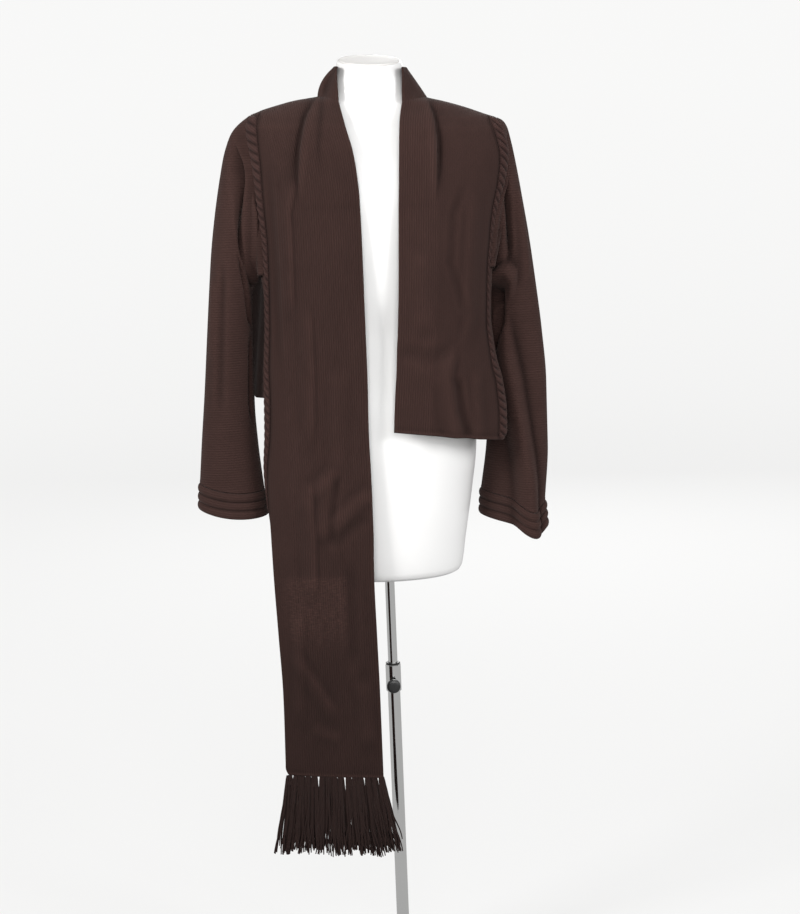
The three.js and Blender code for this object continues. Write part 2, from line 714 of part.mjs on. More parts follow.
function fringe() {
  const seam = SEAM + 0.5;
  const outline = [
    new THREE.Vector2(-rightEdges[0].outer, RIGHT.bottomOuter - seam),
    ...fringeReach.map((row) => new THREE.Vector2(row.from, row.height)),
    ...fringeReach.toReversed().map((row) => new THREE.Vector2(row.to, row.height)),
    new THREE.Vector2(-rightEdges[0].inner, RIGHT.bottomInner - seam),
  ];
  const geometry = new THREE.ExtrudeGeometry(new THREE.Shape(outline), {
    depth: FRINGE_THICK, bevelEnabled: false,
  });
  geometry.rotateX(Math.PI / 2);
  geometry.translate(0, FRINGE_FRONT + FRINGE_THICK, 0);
  return geometry;
}

// ---- The form and its stand ----
function formRing(row, columns, tilt) {
  return Array.from({ length: columns }, (_, c) => {
    const angle = (c / columns) * 2 * Math.PI;
    const across = Math.cos(angle);
    const ahead = -Math.sin(angle);
    const y = (ahead < 0 ? row.front : row.back) * ahead - row.shift;
    return leaned(row.half * across, y, row.height + tilt * y);
  }).reverse();
}

function formBody() {
  const heights = [702, 706, 716, 735, 770, 820, 880, 940, 985, 1040, 1090, 1140, 1200, 1260, 1310,
    1350, 1385, 1412, 1434, 1448, 1456, 1461, 1465, 1470, 1475, 1480, 1483.5, 1487, 1492, 1499, 1506,
    1516, 1532, 1549];
  const rings = heights.map((height) => {
    const row = { height };
    for (const name of ['half', 'front', 'back', 'shift']) {
      row[name] = read(formRings, 'height', height, name);
    }
    return formRing(row, 32, NECK_CAP.tilt * smooth(1500, 1549, height));
  });
  return stack(rings);
}

function neckCap() {
  const top = formRings.at(-1);
  const ring = (rise, scale) => formRing({
    height: top.height + rise,
    half: top.half * scale,
    front: top.front * scale,
    back: top.back * scale,
    shift: top.shift,
  }, 32, NECK_CAP.tilt);
  return stack([
    ring(SEAM, NECK_CAP.shrink),
    ring(NECK_CAP.thick - 1, NECK_CAP.shrink),
    ring(NECK_CAP.thick, NECK_CAP.shrink - 0.03),
  ]);
}

// A turned piece from pairs of radius and height.
function turned(profile, segments = 32) {
  const geometry = new THREE.LatheGeometry(profile.map(([r, z]) => new THREE.Vector2(r, z)), segments);
  return geometry.rotateX(Math.PI / 2);
}

function basePlate() {
  const { baseRadius: radius, baseThick: thick, hubRadius: hub, hubTop: top } = STAND;
  return turned([
    [0, 0], [radius - 1, 0], [radius, 1], [radius, thick - 3], [radius - 3, thick],
    [hub + 4, thick], [hub, thick + 4], [hub, top - 2], [hub - 2, top], [0, top],
  ], 48);
}

function lowerPole() {
  const { lowerRadius: outer, boreRadius: bore, lowerTop: top, hubTop } = STAND;
  const bottom = hubTop + FLOOR_GAP;
  return turned([[bore, bottom], [outer, bottom], [outer, top], [bore, top], [bore, bottom]], 24);
}

function upperPole() {
  const { upperRadius: radius, upperFrom: from, upperTop: top } = STAND;
  return turned([[0, from], [radius, from], [radius, top], [0, top]], 24);
}

// The clamp is a sleeve round the lower pole, closed over its end down to the upper pole.
function clamp() {
  const { clampRadius: outer, lowerRadius, upperRadius, clampFrom: from, clampTop: top, lowerTop } = STAND;
  const wide = lowerRadius + FLOOR_GAP;
  const narrow = upperRadius + FLOOR_GAP;
  const step = lowerTop + FLOOR_GAP;
  return turned([
    [wide, from], [outer - 1, from], [outer, from + 1], [outer, top - 1], [outer - 1, top],
    [narrow, top], [narrow, step], [wide, step], [wide, from],
  ], 24);
}

function poleRing() {
  const { ringRadius: outer, ringThick: thick, upperRadius, clampTop } = STAND;
  const inner = upperRadius + FLOOR_GAP;
  const bottom = clampTop + FLOOR_GAP;
  return turned([
    [inner, bottom], [outer - 0.8, bottom], [outer, bottom + 0.8], [outer, bottom + thick - 0.8],
    [outer - 0.8, bottom + thick], [inner, bottom + thick], [inner, bottom],
  ], 24);
}

function knob() {
  const { knobRadius: radius, knobLong: long, stemRadius: stem } = STAND;
  const geometry = turned([
    [0, 0], [stem, 0], [stem, 5], [radius - 1.5, 5], [radius, 6.5], [radius, long - 2.5],
    [radius - 2.5, long], [0, long],
  ], 24);
  return geometry.rotateX(Math.PI / 2);
}

// ---- Assembly ----
const group = new THREE.Group();
group.name = 'knit_bolero';

function place(name, geometry, material, x = 0, y = 0, z = 0) {
  geometry.deleteAttribute('normal');
  geometry.deleteAttribute('uv');
  const closed = mergeVertices(geometry, 1e-4);
  closed.computeVertexNormals();
  const mesh = new THREE.Mesh(closed, material);
  mesh.name = name;
  mesh.position.set(x, y, z);
  group.add(mesh);
}

function addGarment() {
  place('back', wall(backPanel, 0, CLOTH), knit);
  place('front_right', wall(rightPanel, 0, CLOTH), knit);
  place('front_left', wall(leftPanel, 0, CLOTH), knit);
  place('collar', collar(), knit);
  place('cable_right', cableStrip(RIGHT, CABLE.rightEnd), cable);
  place('cable_left', cableStrip(LEFT, 0), cable);
  place('sleeve_right', sleeve(-1, rightSleeve), knit);
  place('sleeve_left', sleeve(1, leftSleeve), knit);
  place('cuff_right', cuff(-1, rightSleeve), knit);
  place('cuff_left', cuff(1, leftSleeve), knit);
  place('fringe', fringe(), knit);
}

function addForm() {
  place('form_body', formBody(), white);
  place('neck_cap', neckCap(), white);
}

function addStand() {
  place('base_plate', basePlate(), chrome);
  place('pole_lower', lowerPole(), chrome);
  place('pole_upper', upperPole(), chrome);
  place('pole_clamp', clamp(), chrome);
  place('pole_ring', poleRing(), black);
  place('pole_knob', knob(), black, 0, -STAND.clampRadius - FLOOR_GAP, STAND.knobHeight);
}

addGarment();
addForm();
addStand();

export default group;
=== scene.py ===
"""Looks of a knit bolero on a limbless dress form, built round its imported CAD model.

Shapes are worked out in millimetres, as in the CAD source, and made in metres. The wearer faces -Y,
so the wearer's right side is at -X. Cloth pieces are grids of points with a wall of cloth on them.
"""
import math
from types import SimpleNamespace

import bmesh
import bpy
import numpy as np
from mathutils import Matrix, Vector


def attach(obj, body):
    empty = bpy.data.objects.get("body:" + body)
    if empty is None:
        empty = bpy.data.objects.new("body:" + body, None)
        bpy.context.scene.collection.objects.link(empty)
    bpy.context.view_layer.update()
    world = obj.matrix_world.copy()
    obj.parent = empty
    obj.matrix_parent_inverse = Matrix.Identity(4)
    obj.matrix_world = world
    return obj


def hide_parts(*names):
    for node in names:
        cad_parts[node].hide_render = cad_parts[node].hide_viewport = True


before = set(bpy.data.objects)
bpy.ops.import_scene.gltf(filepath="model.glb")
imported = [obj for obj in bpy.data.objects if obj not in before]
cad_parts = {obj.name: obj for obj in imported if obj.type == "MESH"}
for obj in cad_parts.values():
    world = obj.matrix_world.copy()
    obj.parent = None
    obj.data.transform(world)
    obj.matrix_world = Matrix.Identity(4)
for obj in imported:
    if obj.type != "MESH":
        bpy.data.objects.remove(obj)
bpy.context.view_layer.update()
rng = np.random.default_rng(7)

# ---- sizes, in millimetres ----
# A side is -1 for the wearer's right and 1 for the left. Tables name it in words.
MM = 0.001
WELD = 0.001  # points of a turned piece that lie closer than this become one
SIDE_NAME = {-1: "right", 1: "left"}
CLOTH = 2.2
SEAM = 0.3
LEAN, LEAN_FROM, LEAN_FULL = 0.045, 1250, 1450
NECK_HALF = {-1: 82, 1: 88}
NAPE = 1489
NAPE_DEPTH = 62
NAPE_SHARE = 0.7
NECK_TILT = 0.2
FRONT_NECK = 1482
ARMPIT = 1215
INSIDE = np.array([0, 0, 1330])
BACK_WRAP = math.radians(118)
FRONT_WIDTH = 168
BACK_WIDTH = 440
BACK_LENGTH = 500
SLEEVE_LENGTH = 600
SLEEVE_ROUND = 270
EDGE_CROWDING = 1.15
SIDE_GAP = 0.6
CORNER_ROUND = 11
HEM_BEAD = 1.6
RIB_WIDTH = {-1: 133, 1: 62}
CUFF = SimpleNamespace(welts=3, welt=14.3, swell=3.8, flare=3)
COLLAR = SimpleNamespace(wide=0.64, deep=0.86, top=1538, bow=27, end_wide=1.05, end_deep=0.8,
                         long=330, tall=60)
RIB_PITCH = 3.7
ROW_SCALE = RIB_PITCH / 4
CABLE_PITCH = 13.6
CABLE_RISE = 4.6
FRINGE = SimpleNamespace(left=-184, right=-22, foot_left=-205, foot_right=-7, top_left=388, top_right=378,
                         depth=-113.5, short_tassel=6)


def table(columns, rows):
    """A table with named columns, in order of its first one, which is its key."""
    data = np.array(rows, float)
    return {name: data[:, i] for i, name in enumerate(columns.split())} | {"key": data[:, 0]}


FORM = table("height half front back shift", [
    [702, 112, 72, 78, 0], [706, 119, 79, 85, 0], [716, 124, 84, 90, 0], [760, 131, 90, 98, 0],
    [840, 144, 95, 108, 0], [920, 154, 97, 114, 0], [970, 155, 96, 112, 0], [1040, 142, 92, 98, 0],
    [1110, 126, 90, 84, 0], [1180, 130, 96, 82, 0], [1260, 144, 102, 90, 0], [1320, 158, 104, 98, 0],
    [1370, 171, 100, 99, 0], [1410, 183, 91, 94, 0], [1440, 188, 81, 86, 0], [1456, 184, 70, 75, 0],
    [1463, 178, 66.2, 70.7, 0], [1473, 149, 61.2, 64.7, 0], [1480.5, 117, 58, 58.9, 0],
    [1486.5, 83, 54.4, 54.9, 0], [1495, 73, 51.5, 55.5, 0], [1504, 69, 49.5, 53, 1],
    [1516, 63, 49, 51, 3], [1532, 55.5, 49, 49, 5], [1549, 52, 50, 49, 7]])
SHOULDERS = [[1370, 200, 216], [1410, 204, 221], [1440, 206, 216], [1457, 196, 203], [1465, 180, 180],
             [1475, 150, 150], [1483, 120, 120], [1490, 82, 88], [1497, 66, 66]]
SQUARES = (2.6, 2.5, 2.3, 2.1, 2.05, 2, 2, 2, 2)


def body(rows, shoulder_depths):
    """Half widths, depth and squareness of a body at each height, with the shared shoulders on top."""
    top = [row + [depth, square] for row, depth, square in zip(SHOULDERS, shoulder_depths, SQUARES)]
    return table("height right left depth square", rows + top)


FRONT_BODY = body([
    [384, 270, 210, 113, 4], [600, 246, 210, 113, 4], [760, 220, 210, 113, 3.9], [820, 206, 210, 113, 3.6],
    [880, 202, 209, 113, 3.4], [950, 199, 209, 113, 3.2], [1050, 195, 201, 113, 3],
    [1130, 191, 187, 113, 2.9], [1200, 190, 189, 113, 2.8], [1250, 190, 194, 113, 2.8],
    [1320, 196, 205, 111, 2.7]], (106, 97, 86, 75.5, 70, 65, 61.5, 58, 54))
BACK_BODY = body([
    [940, 212, 156, 116, 2.7], [1000, 210, 157, 114, 2.7], [1080, 200, 160, 111, 2.7],
    [1150, 190, 162, 108, 2.7], [1215, 184, 172, 107, 2.7], [1260, 186, 188, 106, 2.7],
    [1320, 196, 205, 107, 2.7]], (105, 99, 89, 80.5, 76, 70, 65.5, 62, 60))
EDGES = {
    -1: table("height inner outer", [
        [384, 22, 184], [516, 22, 182], [619, 23, 185], [712, 24, 188], [800, 22, 190], [830, 22, 193],
        [887, 22, 196], [953, 23, 191], [1058, 21.5, 187], [1131, 21.5, 182], [1250, 21.5, 179],
        [1334, 22.5, 186], [1379, 26, 190], [1408, 30.5, 195], [1440, 39.5, 199], [1458, 44, 194],
        [1482, 50, 192]]),
    1: table("height inner outer", [
        [930, 16, 198], [968, 18, 199], [1023, 22, 193], [1056, 25, 184], [1089, 27, 179],
        [1120, 29.5, 176], [1201, 34, 179], [1281, 37, 188], [1319, 38.5, 197], [1351, 40, 207],
        [1399, 42, 215], [1430, 43.5, 210], [1457, 45.5, 201], [1482, 50, 200]]),
}
CUTS = {-1: (378, 388), 1: (958, 932)}  # lower end of each front at its inner and outer edge
BAND = table("height right left rise", [
    [1320, 118, 97, 0], [1375, 115, 99, 6], [1421, 109, 100, 11.5], [1460, 99, 97, 10],
    [1478, 90, 92, 5], [1490, 84, 88, 1.6]])
BACK_BULGE = table("height right left", [
    [1000, 10, 0], [1050, 24, 1], [1080, 33, 2], [1150, 40, 3], [1200, 32, 1], [1240, 12, 0], [1270, 0, 0]])
CABLE_WIDTH = table("height right left", [
    [824, 3, 17], [900, 9, 17], [1000, 14, 15], [1080, 12, 9], [1250, 12, 8], [1320, 15, 13],
    [1370, 18, 17], [1440, 26, 21]])
SLEEVES = {
    -1: table("along outer outerHeight inner innerHeight forward deep turn", [
        [0, 204, 1457, 194, 1212, 6, 36, 0], [1, 222, 1447, 196, 1206, 8, 39, 0],
        [2, 238, 1413, 198, 1199, 12, 42, 2], [3, 248, 1370, 204, 1190, 17, 44, 4],
        [4, 258, 1316, 207, 1170, 21, 45, 9], [5, 267, 1254, 209, 1139, 24, 44, 13],
        [6, 274.5, 1184, 210, 1098, 25, 41, 13], [7, 282.5, 1104, 211, 1048, 25.5, 38.5, 12],
        [8, 290.5, 1024, 212, 994, 25.5, 37, 10], [9, 299.5, 944, 209.5, 934, 25, 36, 8],
        [10, 307, 873, 203, 858, 25, 38, 3]]),
    1: table("along outer outerHeight inner innerHeight forward deep turn", [
        [0, 209, 1450, 189, 1210, 0, 24, 0], [1, 218, 1437, 187, 1203, 0, 26, 2],
        [2, 225, 1410, 184, 1193, 0, 30, 5], [3, 232, 1372, 183, 1180, 0, 34, 9],
        [4, 240, 1320, 182, 1160, 0, 36, 14], [5, 249, 1256, 183, 1130, 0, 36, 20],
        [6, 257, 1184, 180, 1088, 2, 35, 24], [7, 265, 1104, 178, 1036, 0, 32, 27],
        [8, 270, 1020, 178, 980, 0, 32, 28], [9, 270, 918, 173, 912, 0, 33, 27],
        [10, 263, 820, 162, 838, 0, 34, 26]]),
}
SLEEVE = SimpleNamespace(gap_top=0.7, gap_under=2.0, push=9, scale=(0.8, 60))

# Folds of each front: where they run as (distance from the middle, height), half-widths towards the
# middle and away from it, and height. A trough is negative.
FRONT_FOLDS = {-1: [
    ([(123, 1375), (138, 1312), (137, 1256), (140, 1140)], 9, 26, 6.0),
    ([(166, 1400), (160, 1200), (164, 1050)], 11, 11, -5),
    ([(112, 1180), (112, 1060), (118, 930)], 10, 22, 4.5),
    ([(66, 1080), (78, 880)], 22, 22, 3),
    ([(124, 890), (122, 790), (124, 680)], 10, 24, 5),
    ([(78, 905), (124, 856)], 18, 18, 2.2),
    ([(96, 900), (100, 850), (107, 780)], 26, 16, 4.0),
    ([(74, 900), (84, 850), (94, 770)], 12, 12, -3.5),
    ([(16, 866), (56, 840), (94, 800)], 18, 18, 2.8),
    ([(26, 828), (60, 804), (94, 772)], 16, 16, -1.6),
    ([(62, 760), (66, 560)], 18, 18, -3),
    ([(164, 606), (130, 545), (94, 482)], 16, 20, 2.0),
    ([(140, 472), (86, 448)], 16, 16, 1.2),
    ([(150, 690), (158, 470)], 16, 16, 3.5),
    ([(50, 560), (44, 430)], 20, 20, 2.5),
], 1: [
    ([(150, 1372), (125, 1303), (118, 1225), (139, 1145), (122, 1090)], 12, 12, -3.2),
    ([(160, 1355), (148, 1214), (138, 1085)], 16, 18, 5.5),
    ([(118, 1100), (105, 1040), (110, 985), (124, 925)], 26, 13, 6.5),
    ([(121, 1050), (128, 990), (140, 935)], 12, 12, -4.5),
    ([(152, 1060), (156, 930)], 14, 14, 3.5),
    ([(30, 1096), (70, 1080), (118, 1084)], 22, 22, -2.5),
    ([(66, 1260), (72, 1110)], 26, 26, 3.5),
]}
# Folds of the back, with the distance counted from the middle towards the wearer's left.
BACK_FOLDS = [
    ([(-120, 1400), (-126, 1200), (-132, 1010)], 18, 18, 4),
    ([(-42, 1360), (-58, 990)], 22, 22, -4),
    ([(36, 1330), (30, 985)], 20, 20, 4.5),
    ([(104, 1385), (118, 1000)], 20, 20, -3.5),
]
# Folds of the sleeves, as (angle in degrees, place along), half-widths in millimetres and height.
SLEEVE_FOLDS = {-1: [
    ([(34, 1.0), (60, 1.9), (80, 2.5), (100, 2.9), (116, 3.4)], 9, 18, -17),
    ([(104, 3.4), (132, 4.4), (150, 5.5)], 12, 16, -10),
    ([(84, 0.3), (108, 1.0), (130, 1.8), (140, 2.4)], 12, 12, 7),
    ([(132, 3.4), (154, 2.9), (184, 2.4)], 12, 12, -16),
    ([(148, 5.6), (146, 6.3), (144, 7.8), (150, 8.6)], 8, 8, -5),
    ([(60, 4.6), (66, 8.6)], 14, 14, -3.5),
    ([(28, 5.4), (40, 7.4)], 16, 16, 3),
    ([(255, 2), (268, 7)], 16, 16, -8),
], 1: [
    ([(64, 0.8), (62, 2.4), (62, 3.3), (70, 4.0), (73, 4.9)], 9, 17, -16),
    ([(170, 2.6), (140, 3.7), (112, 4.3), (90, 4.8), (74, 5.3), (78, 5.9)], 12, 12, 13),
    ([(166, 3.7), (136, 4.6), (112, 5.25), (116, 6.1), (140, 6.8)], 17, 17, -27),
    ([(104, 5.8), (90, 7.2), (80, 8.1), (68, 8.8), (52, 9.6), (44, 10.3), (42, 13)], 13, 30, 20),
    ([(30, 3.4), (34, 6.0)], 16, 16, 4),
    ([(250, 2), (262, 7.5)], 16, 16, -8),
]}
STUDIO = {"pale": (0.15, 0.15, 0.149), "near": 0.68, "far": 0.835}
STAND = SimpleNamespace(
    base=165, base_thick=10, hub=24, hub_top=34, lower=10.6, bore=8.4, lower_top=536, upper=8,
    upper_from=470, upper_top=701.6, clamp=13, clamp_from=494, clamp_top=541, ring=12.2, ring_thick=3,
    knob_height=508, gap=0.3)


# ---- small mathematics ----
def lerp(a, b, share):
    return a + (b - a) * share


def smooth(a, b, value):
    share = np.clip((value - a) / (b - a), 0, 1)
    return share * share * (3 - 2 * share)


def read(rows, place, column):
    """Reads a table's column, or its column for a side, on a smooth curve that never overshoots."""
    keys, values = rows["key"], rows[SIDE_NAME.get(column, column)]
    place = np.clip(np.asarray(place, float), keys[0], keys[-1])
    steps = np.diff(keys)
    slopes = np.diff(values) / steps
    product = slopes[:-1] * slopes[1:]
    total = slopes[:-1] + slopes[1:]
    inner = np.where(product > 0, 2 * product / np.where(total == 0, 1, total), 0)
    tangents = np.concatenate([slopes[:1], inner, slopes[-1:]])
    i = np.clip(np.searchsorted(keys, place, side="right") - 1, 0, len(steps) - 1)
    t = (place - keys[i]) / steps[i]
    rest = 1 - t
    return (values[i] * (1 + 2 * t) * rest ** 2 + values[i + 1] * t ** 2 * (3 - 2 * t)
            + steps[i] * (tangents[i] * t * rest ** 2 - tangents[i + 1] * t ** 2 * rest))


def point(x, y, z):
    return np.stack(np.broadcast_arrays(x, y, z), -1).astype(float)


def leaned(x, y, z):
    """The wearer's left shoulder sits a little lower."""
    return point(x, y, z - LEAN * x * smooth(LEAN_FROM, LEAN_FULL, z))


def circle(count):
    """Angles once round, without the last one that would meet the first."""
    return np.linspace(0, 2 * math.pi, count, endpoint=False)


def unit(v):
    return v / np.maximum(np.linalg.norm(v, axis=-1, keepdims=True), 1e-12)


def fold(across, along, path, half_in, half_out, rise, fade=0.22):
    """Height of a fold that runs along a path, with its own width on each side, fading at its ends."""
    best = np.full(np.shape(across), np.inf)
    side = np.zeros(np.shape(across))
    share = np.zeros(np.shape(across))
    path = np.array(path, float)
    lengths = np.hypot(*np.diff(path, axis=0).T)
    start = 0.0
    for a, b, length in zip(path[:-1], path[1:], lengths):
        d = (b - a) / length
        t = np.clip((across - a[0]) * d[0] + (along - a[1]) * d[1], 0, length)
        dx, dy = across - a[0] - d[0] * t, along - a[1] - d[1] * t
        distance = np.hypot(dx, dy)
        nearer = distance < best
        best = np.where(nearer, distance, best)
        side = np.where(nearer, dx, side)
        share = np.where(nearer, (start + t) / lengths.sum(), share)
        start += length
    half = np.where(side < 0, half_in, half_out)
    profile = np.clip(1 - (best / half) ** 2, 0, 1) ** 2
    return rise * profile * smooth(0, fade, share) * smooth(1, 1 - fade, share)


# ---- the garment's surface ----
def ridge_height(across, side):
    """Height of the shoulder line at a distance from the middle."""
    low, high = np.full(np.shape(across), 1440.0), np.full(np.shape(across), 1497.0)
    for _ in range(40):
        middle = (low + high) / 2
        wider = read(FRONT_BODY, middle, side) > across
        low, high = np.where(wider, middle, low), np.where(wider, high, middle)
    return (low + high) / 2


def front_top(across, side):
    """Height of a front's upper edge: the shoulder, then down to the neck's corner."""
    across = np.asarray(across, float)
    neck = NECK_HALF[side]
    inside = lerp(FRONT_NECK, ridge_height(np.float64(neck), side), smooth(45, neck, across))
    return np.where(across >= neck, ridge_height(across, side), inside)


def relief(folds, side, across, along, scale=(1, 1)):
    """Height of all the folds of one side, with their paths scaled to millimetres."""
    rise = np.zeros(np.broadcast(across, along).shape)
    for path, half_in, half_out, high in folds[side]:
        path = [(a * scale[0], b * scale[1]) for a, b in path]
        rise = rise + fold(across, along, path, half_in, half_out, high)
    return rise


def front_relief(side, across, height):
    """Folds of a front and the step of the collar band that lies on it."""
    rise = relief(FRONT_FOLDS, side, across, height)
    line = read(BAND, height, side)
    groove = np.exp(-((across - line - 6) / 5) ** 2)
    groove = groove * smooth(1330, 1410, height) * smooth(1488, 1460, height)
    rise = rise - 4.0 * groove
    roll = np.clip((line + 1 - across) / 8, 0, 1)
    return rise + read(BAND, height, "rise") * np.sqrt(1 - (1 - roll) ** 2)


def front_point(side, across, height):
    """A point of a front's inner face, at a distance from the middle and a height."""
    half = read(FRONT_BODY, height, side)
    depth = read(FRONT_BODY, height, "depth") + front_relief(side, across, height)
    square = read(FRONT_BODY, height, "square")
    share = np.minimum(1, across / half) ** square
    return leaned(side * across, -depth * (1 - share) ** (1 / square), height)


def front_place(side, across, down):
    """Distance from the middle and height, from shares across a front and down it."""
    edges = EDGES[side]
    bottom_inner, bottom_outer = CUTS[side]
    inner_top, outer_top = edges["inner"][-1], edges["outer"][-1]
    inner_height = lerp(FRONT_NECK, bottom_inner, down)
    outer_height = lerp(ridge_height(outer_top, side), bottom_outer, down)
    share = 1 - (1 - across) ** EDGE_CROWDING
    distance = lerp(read(edges, inner_height, "inner"), read(edges, outer_height, "outer"), share)
    top = front_top(lerp(inner_top, outer_top, share), side)
    bottom = lerp(bottom_inner, bottom_outer, across)
    bottom = bottom + CORNER_ROUND * np.clip((across - 0.94) / 0.06, 0, 1) ** 2
    return distance, lerp(top, bottom, down)


def front_grid(side, shares, downs):
    """Grid of a front's inner face. Row 0 is the shoulder, column 0 the free edge."""
    across, down = np.meshgrid(shares, downs) if np.ndim(shares) == 1 else (shares, downs)
    distance, height = front_place(side, across, down)
    return front_point(side, distance, height), distance, height


def crowded(count):
    """Rows from 0 to 1 that lie closer at the shoulder, where the cloth turns over."""
    return np.linspace(0, 1, count + 1) ** 1.6


def edge_frame(grid, column, neighbour):
    """Points down one edge of a panel, the way out of the body and the way off the panel there."""
    line = grid[:, column]
    along = np.gradient(line, axis=0)
    onto = grid[:, neighbour] - line
    out = unit(np.cross(along, onto))
    flip = np.sum(out * (line - INSIDE), -1) < 0
    out[flip] *= -1
    away = unit(np.cross(along, out))
    away[np.sum(away * onto, -1) > 0] *= -1
    return {"point": line, "out": out, "away": away}


def at_height(edge, height, name):
    """A value of an edge at given heights."""
    order = np.argsort(edge["point"][:, 2])
    z = edge["point"][order, 2]
    return np.stack([np.interp(height, z, edge[name][order, k]) for k in range(3)], -1)


FRONT_EDGE = {side: edge_frame(front_grid(side, np.array([0.9, 0.98, 1.0]), crowded(260))[0], 2, 1)
              for side in (-1, 1)}


def back_point(across, down):
    """The back's inner face. Across runs from -1 at the wearer's right edge to 1 at the left."""
    result = np.zeros(np.broadcast(across, down).shape + (3,))
    across, down = np.broadcast_arrays(across, down)
    for side in (-1, 1):
        mask = (across < 0) if side < 0 else (across >= 0)
        share, v = np.abs(across[mask]), down[mask]
        shoulder = EDGES[side]["outer"][-1]
        top = np.where(share * shoulder >= NECK_HALF[side], ridge_height(share * shoulder, side), NAPE)
        bottom = lerp(1000, 1012 if side < 0 else 948, smooth(0.35, 1, share))
        height = lerp(top, bottom, v)
        half = read(BACK_BODY, height, side)
        square = read(BACK_BODY, height, "square")
        outer = lerp(shoulder, half * 0.94, smooth(0, 0.12, v))
        upright = np.arcsin(np.minimum(1, share * outer / half) ** (square / 2))
        angle = lerp(upright, share * BACK_WRAP, smooth(1370, ARMPIT, height))
        depth = read(BACK_BODY, height, "depth")
        turned = np.abs(np.cos(angle)) ** (2 / square)
        x = side * half * np.sin(angle) ** (2 / square)
        bell = np.clip(1 - ((np.degrees(angle) - 63) / 30) ** 2, 0, 1) ** 2
        if side < 0:
            tuck = np.clip(1 - ((np.degrees(angle) - 104) / 15) ** 2, 0, 1) ** 2
            x = x + 9 * tuck * smooth(1230, 1150, height)
        x = x + side * read(BACK_BULGE, height, side) * bell
        y = np.where(angle < math.pi / 2, depth * turned, -depth * turned)
        for path, half_in, half_out, rise in BACK_FOLDS:
            y = y + fold(x, height, path, half_in, half_out, rise) * smooth(0, 20, y)
        edge = at_height(FRONT_EDGE[side], height, "point")
        own_x = side * half * math.sin(BACK_WRAP) ** (2 / square)
        own_y = -depth * abs(math.cos(BACK_WRAP)) ** (2 / square)
        near = smooth(0.62, 1, share)
        x = x + (edge[..., 0] - own_x) * near * smooth(ARMPIT + 110, ARMPIT + 15, height)
        y = y + (edge[..., 1] + SIDE_GAP - own_y) * near * smooth(ARMPIT + 30, ARMPIT, height)
        result[mask] = leaned(x, y, height)
    return result


def back_grid(shares, downs):
    """Grid of the back's inner face, row 0 half a seam behind the fronts' shoulders."""
    across, down = np.meshgrid(shares, downs)
    points = back_point(across, down)
    points[0, :, 1] += SEAM / 2
    return points, across, down


# ---- meshes ----
def build(name, points, faces, material, knit=None, wear=None, crease=None, hollow=None):
    """A mesh object from points in millimetres, with its knit directions, its lighter patch with painted
    highlights and its painted shade kept as attributes.
    """
    mesh = bpy.data.meshes.new(name)
    faces = np.asarray(faces, np.int32)
    corners = faces.shape[1]
    mesh.vertices.add(len(points))
    mesh.vertices.foreach_set("co", (np.asarray(points, np.float32) * MM).ravel())
    mesh.loops.add(faces.size)
    mesh.loops.foreach_set("vertex_index", faces.ravel())
    mesh.polygons.add(len(faces))
    mesh.polygons.foreach_set("loop_start", np.arange(0, faces.size, corners, dtype=np.int32))
    mesh.polygons.foreach_set("use_smooth", np.ones(len(faces), bool))
    mesh.update(calc_edges=True)
    mesh.validate()
    for label, values in (("knit", knit), ("wear", wear), ("hollow", hollow)):
        if values is not None:
            kind, key = ("FLOAT_VECTOR", "vector") if label == "knit" else ("FLOAT", "value")
            data = mesh.attributes.new(label, kind, "POINT").data
            data.foreach_set(key, np.asarray(values, np.float32).ravel())
    mesh.materials.append(material)
    piece = bpy.data.objects.new(name, mesh)
    bpy.context.scene.collection.objects.link(piece)
    if crease:
        mesh.set_sharp_from_angle(angle=math.radians(crease))
    return piece


def grid_faces(rows, columns, closed, start=0, flip=False):
    """Quads of a grid of points that starts at a given number."""
    r = np.arange(rows - 1)[:, None]
    c = np.arange(columns if closed else columns - 1)[None, :]
    n = (c + 1) % columns
    a, b = start + r * columns + c, start + (r + 1) * columns + c
    d, e = start + r * columns + n, start + (r + 1) * columns + n
    quads = np.stack([a, b, e, d] if not flip else [a, d, e, b], -1)
    return quads.reshape(-1, 4)


def normals_of(grid, closed):
    down = np.gradient(grid, axis=0)
    if closed:
        across = np.roll(grid, -1, 1) - np.roll(grid, 1, 1)
    else:
        across = np.gradient(grid, axis=1)
    return unit(np.cross(down, across))


def hollow_of(skin, normal, closed, rounds=16, scale=2.2):
    """How far each point lies below its surroundings, used as painted shade: towards 1 in a crevice, which
    the material darkens, below 0 on a crest, which it paints lighter.
    """
    around = skin
    onward = {"mode": "reflect", "reflect_type": "odd"}
    for _ in range(rounds):
        wide = np.pad(around, ((0, 0), (1, 1), (0, 0)), **({"mode": "wrap"} if closed else onward))
        tall = np.pad(around, ((1, 1), (0, 0), (0, 0)), **onward)
        around = (wide[:, :-2] + wide[:, 2:] + tall[:-2] + tall[2:]) / 4
    return np.clip(np.sum((around - skin) * normal, -1) / scale, -0.5, 1)


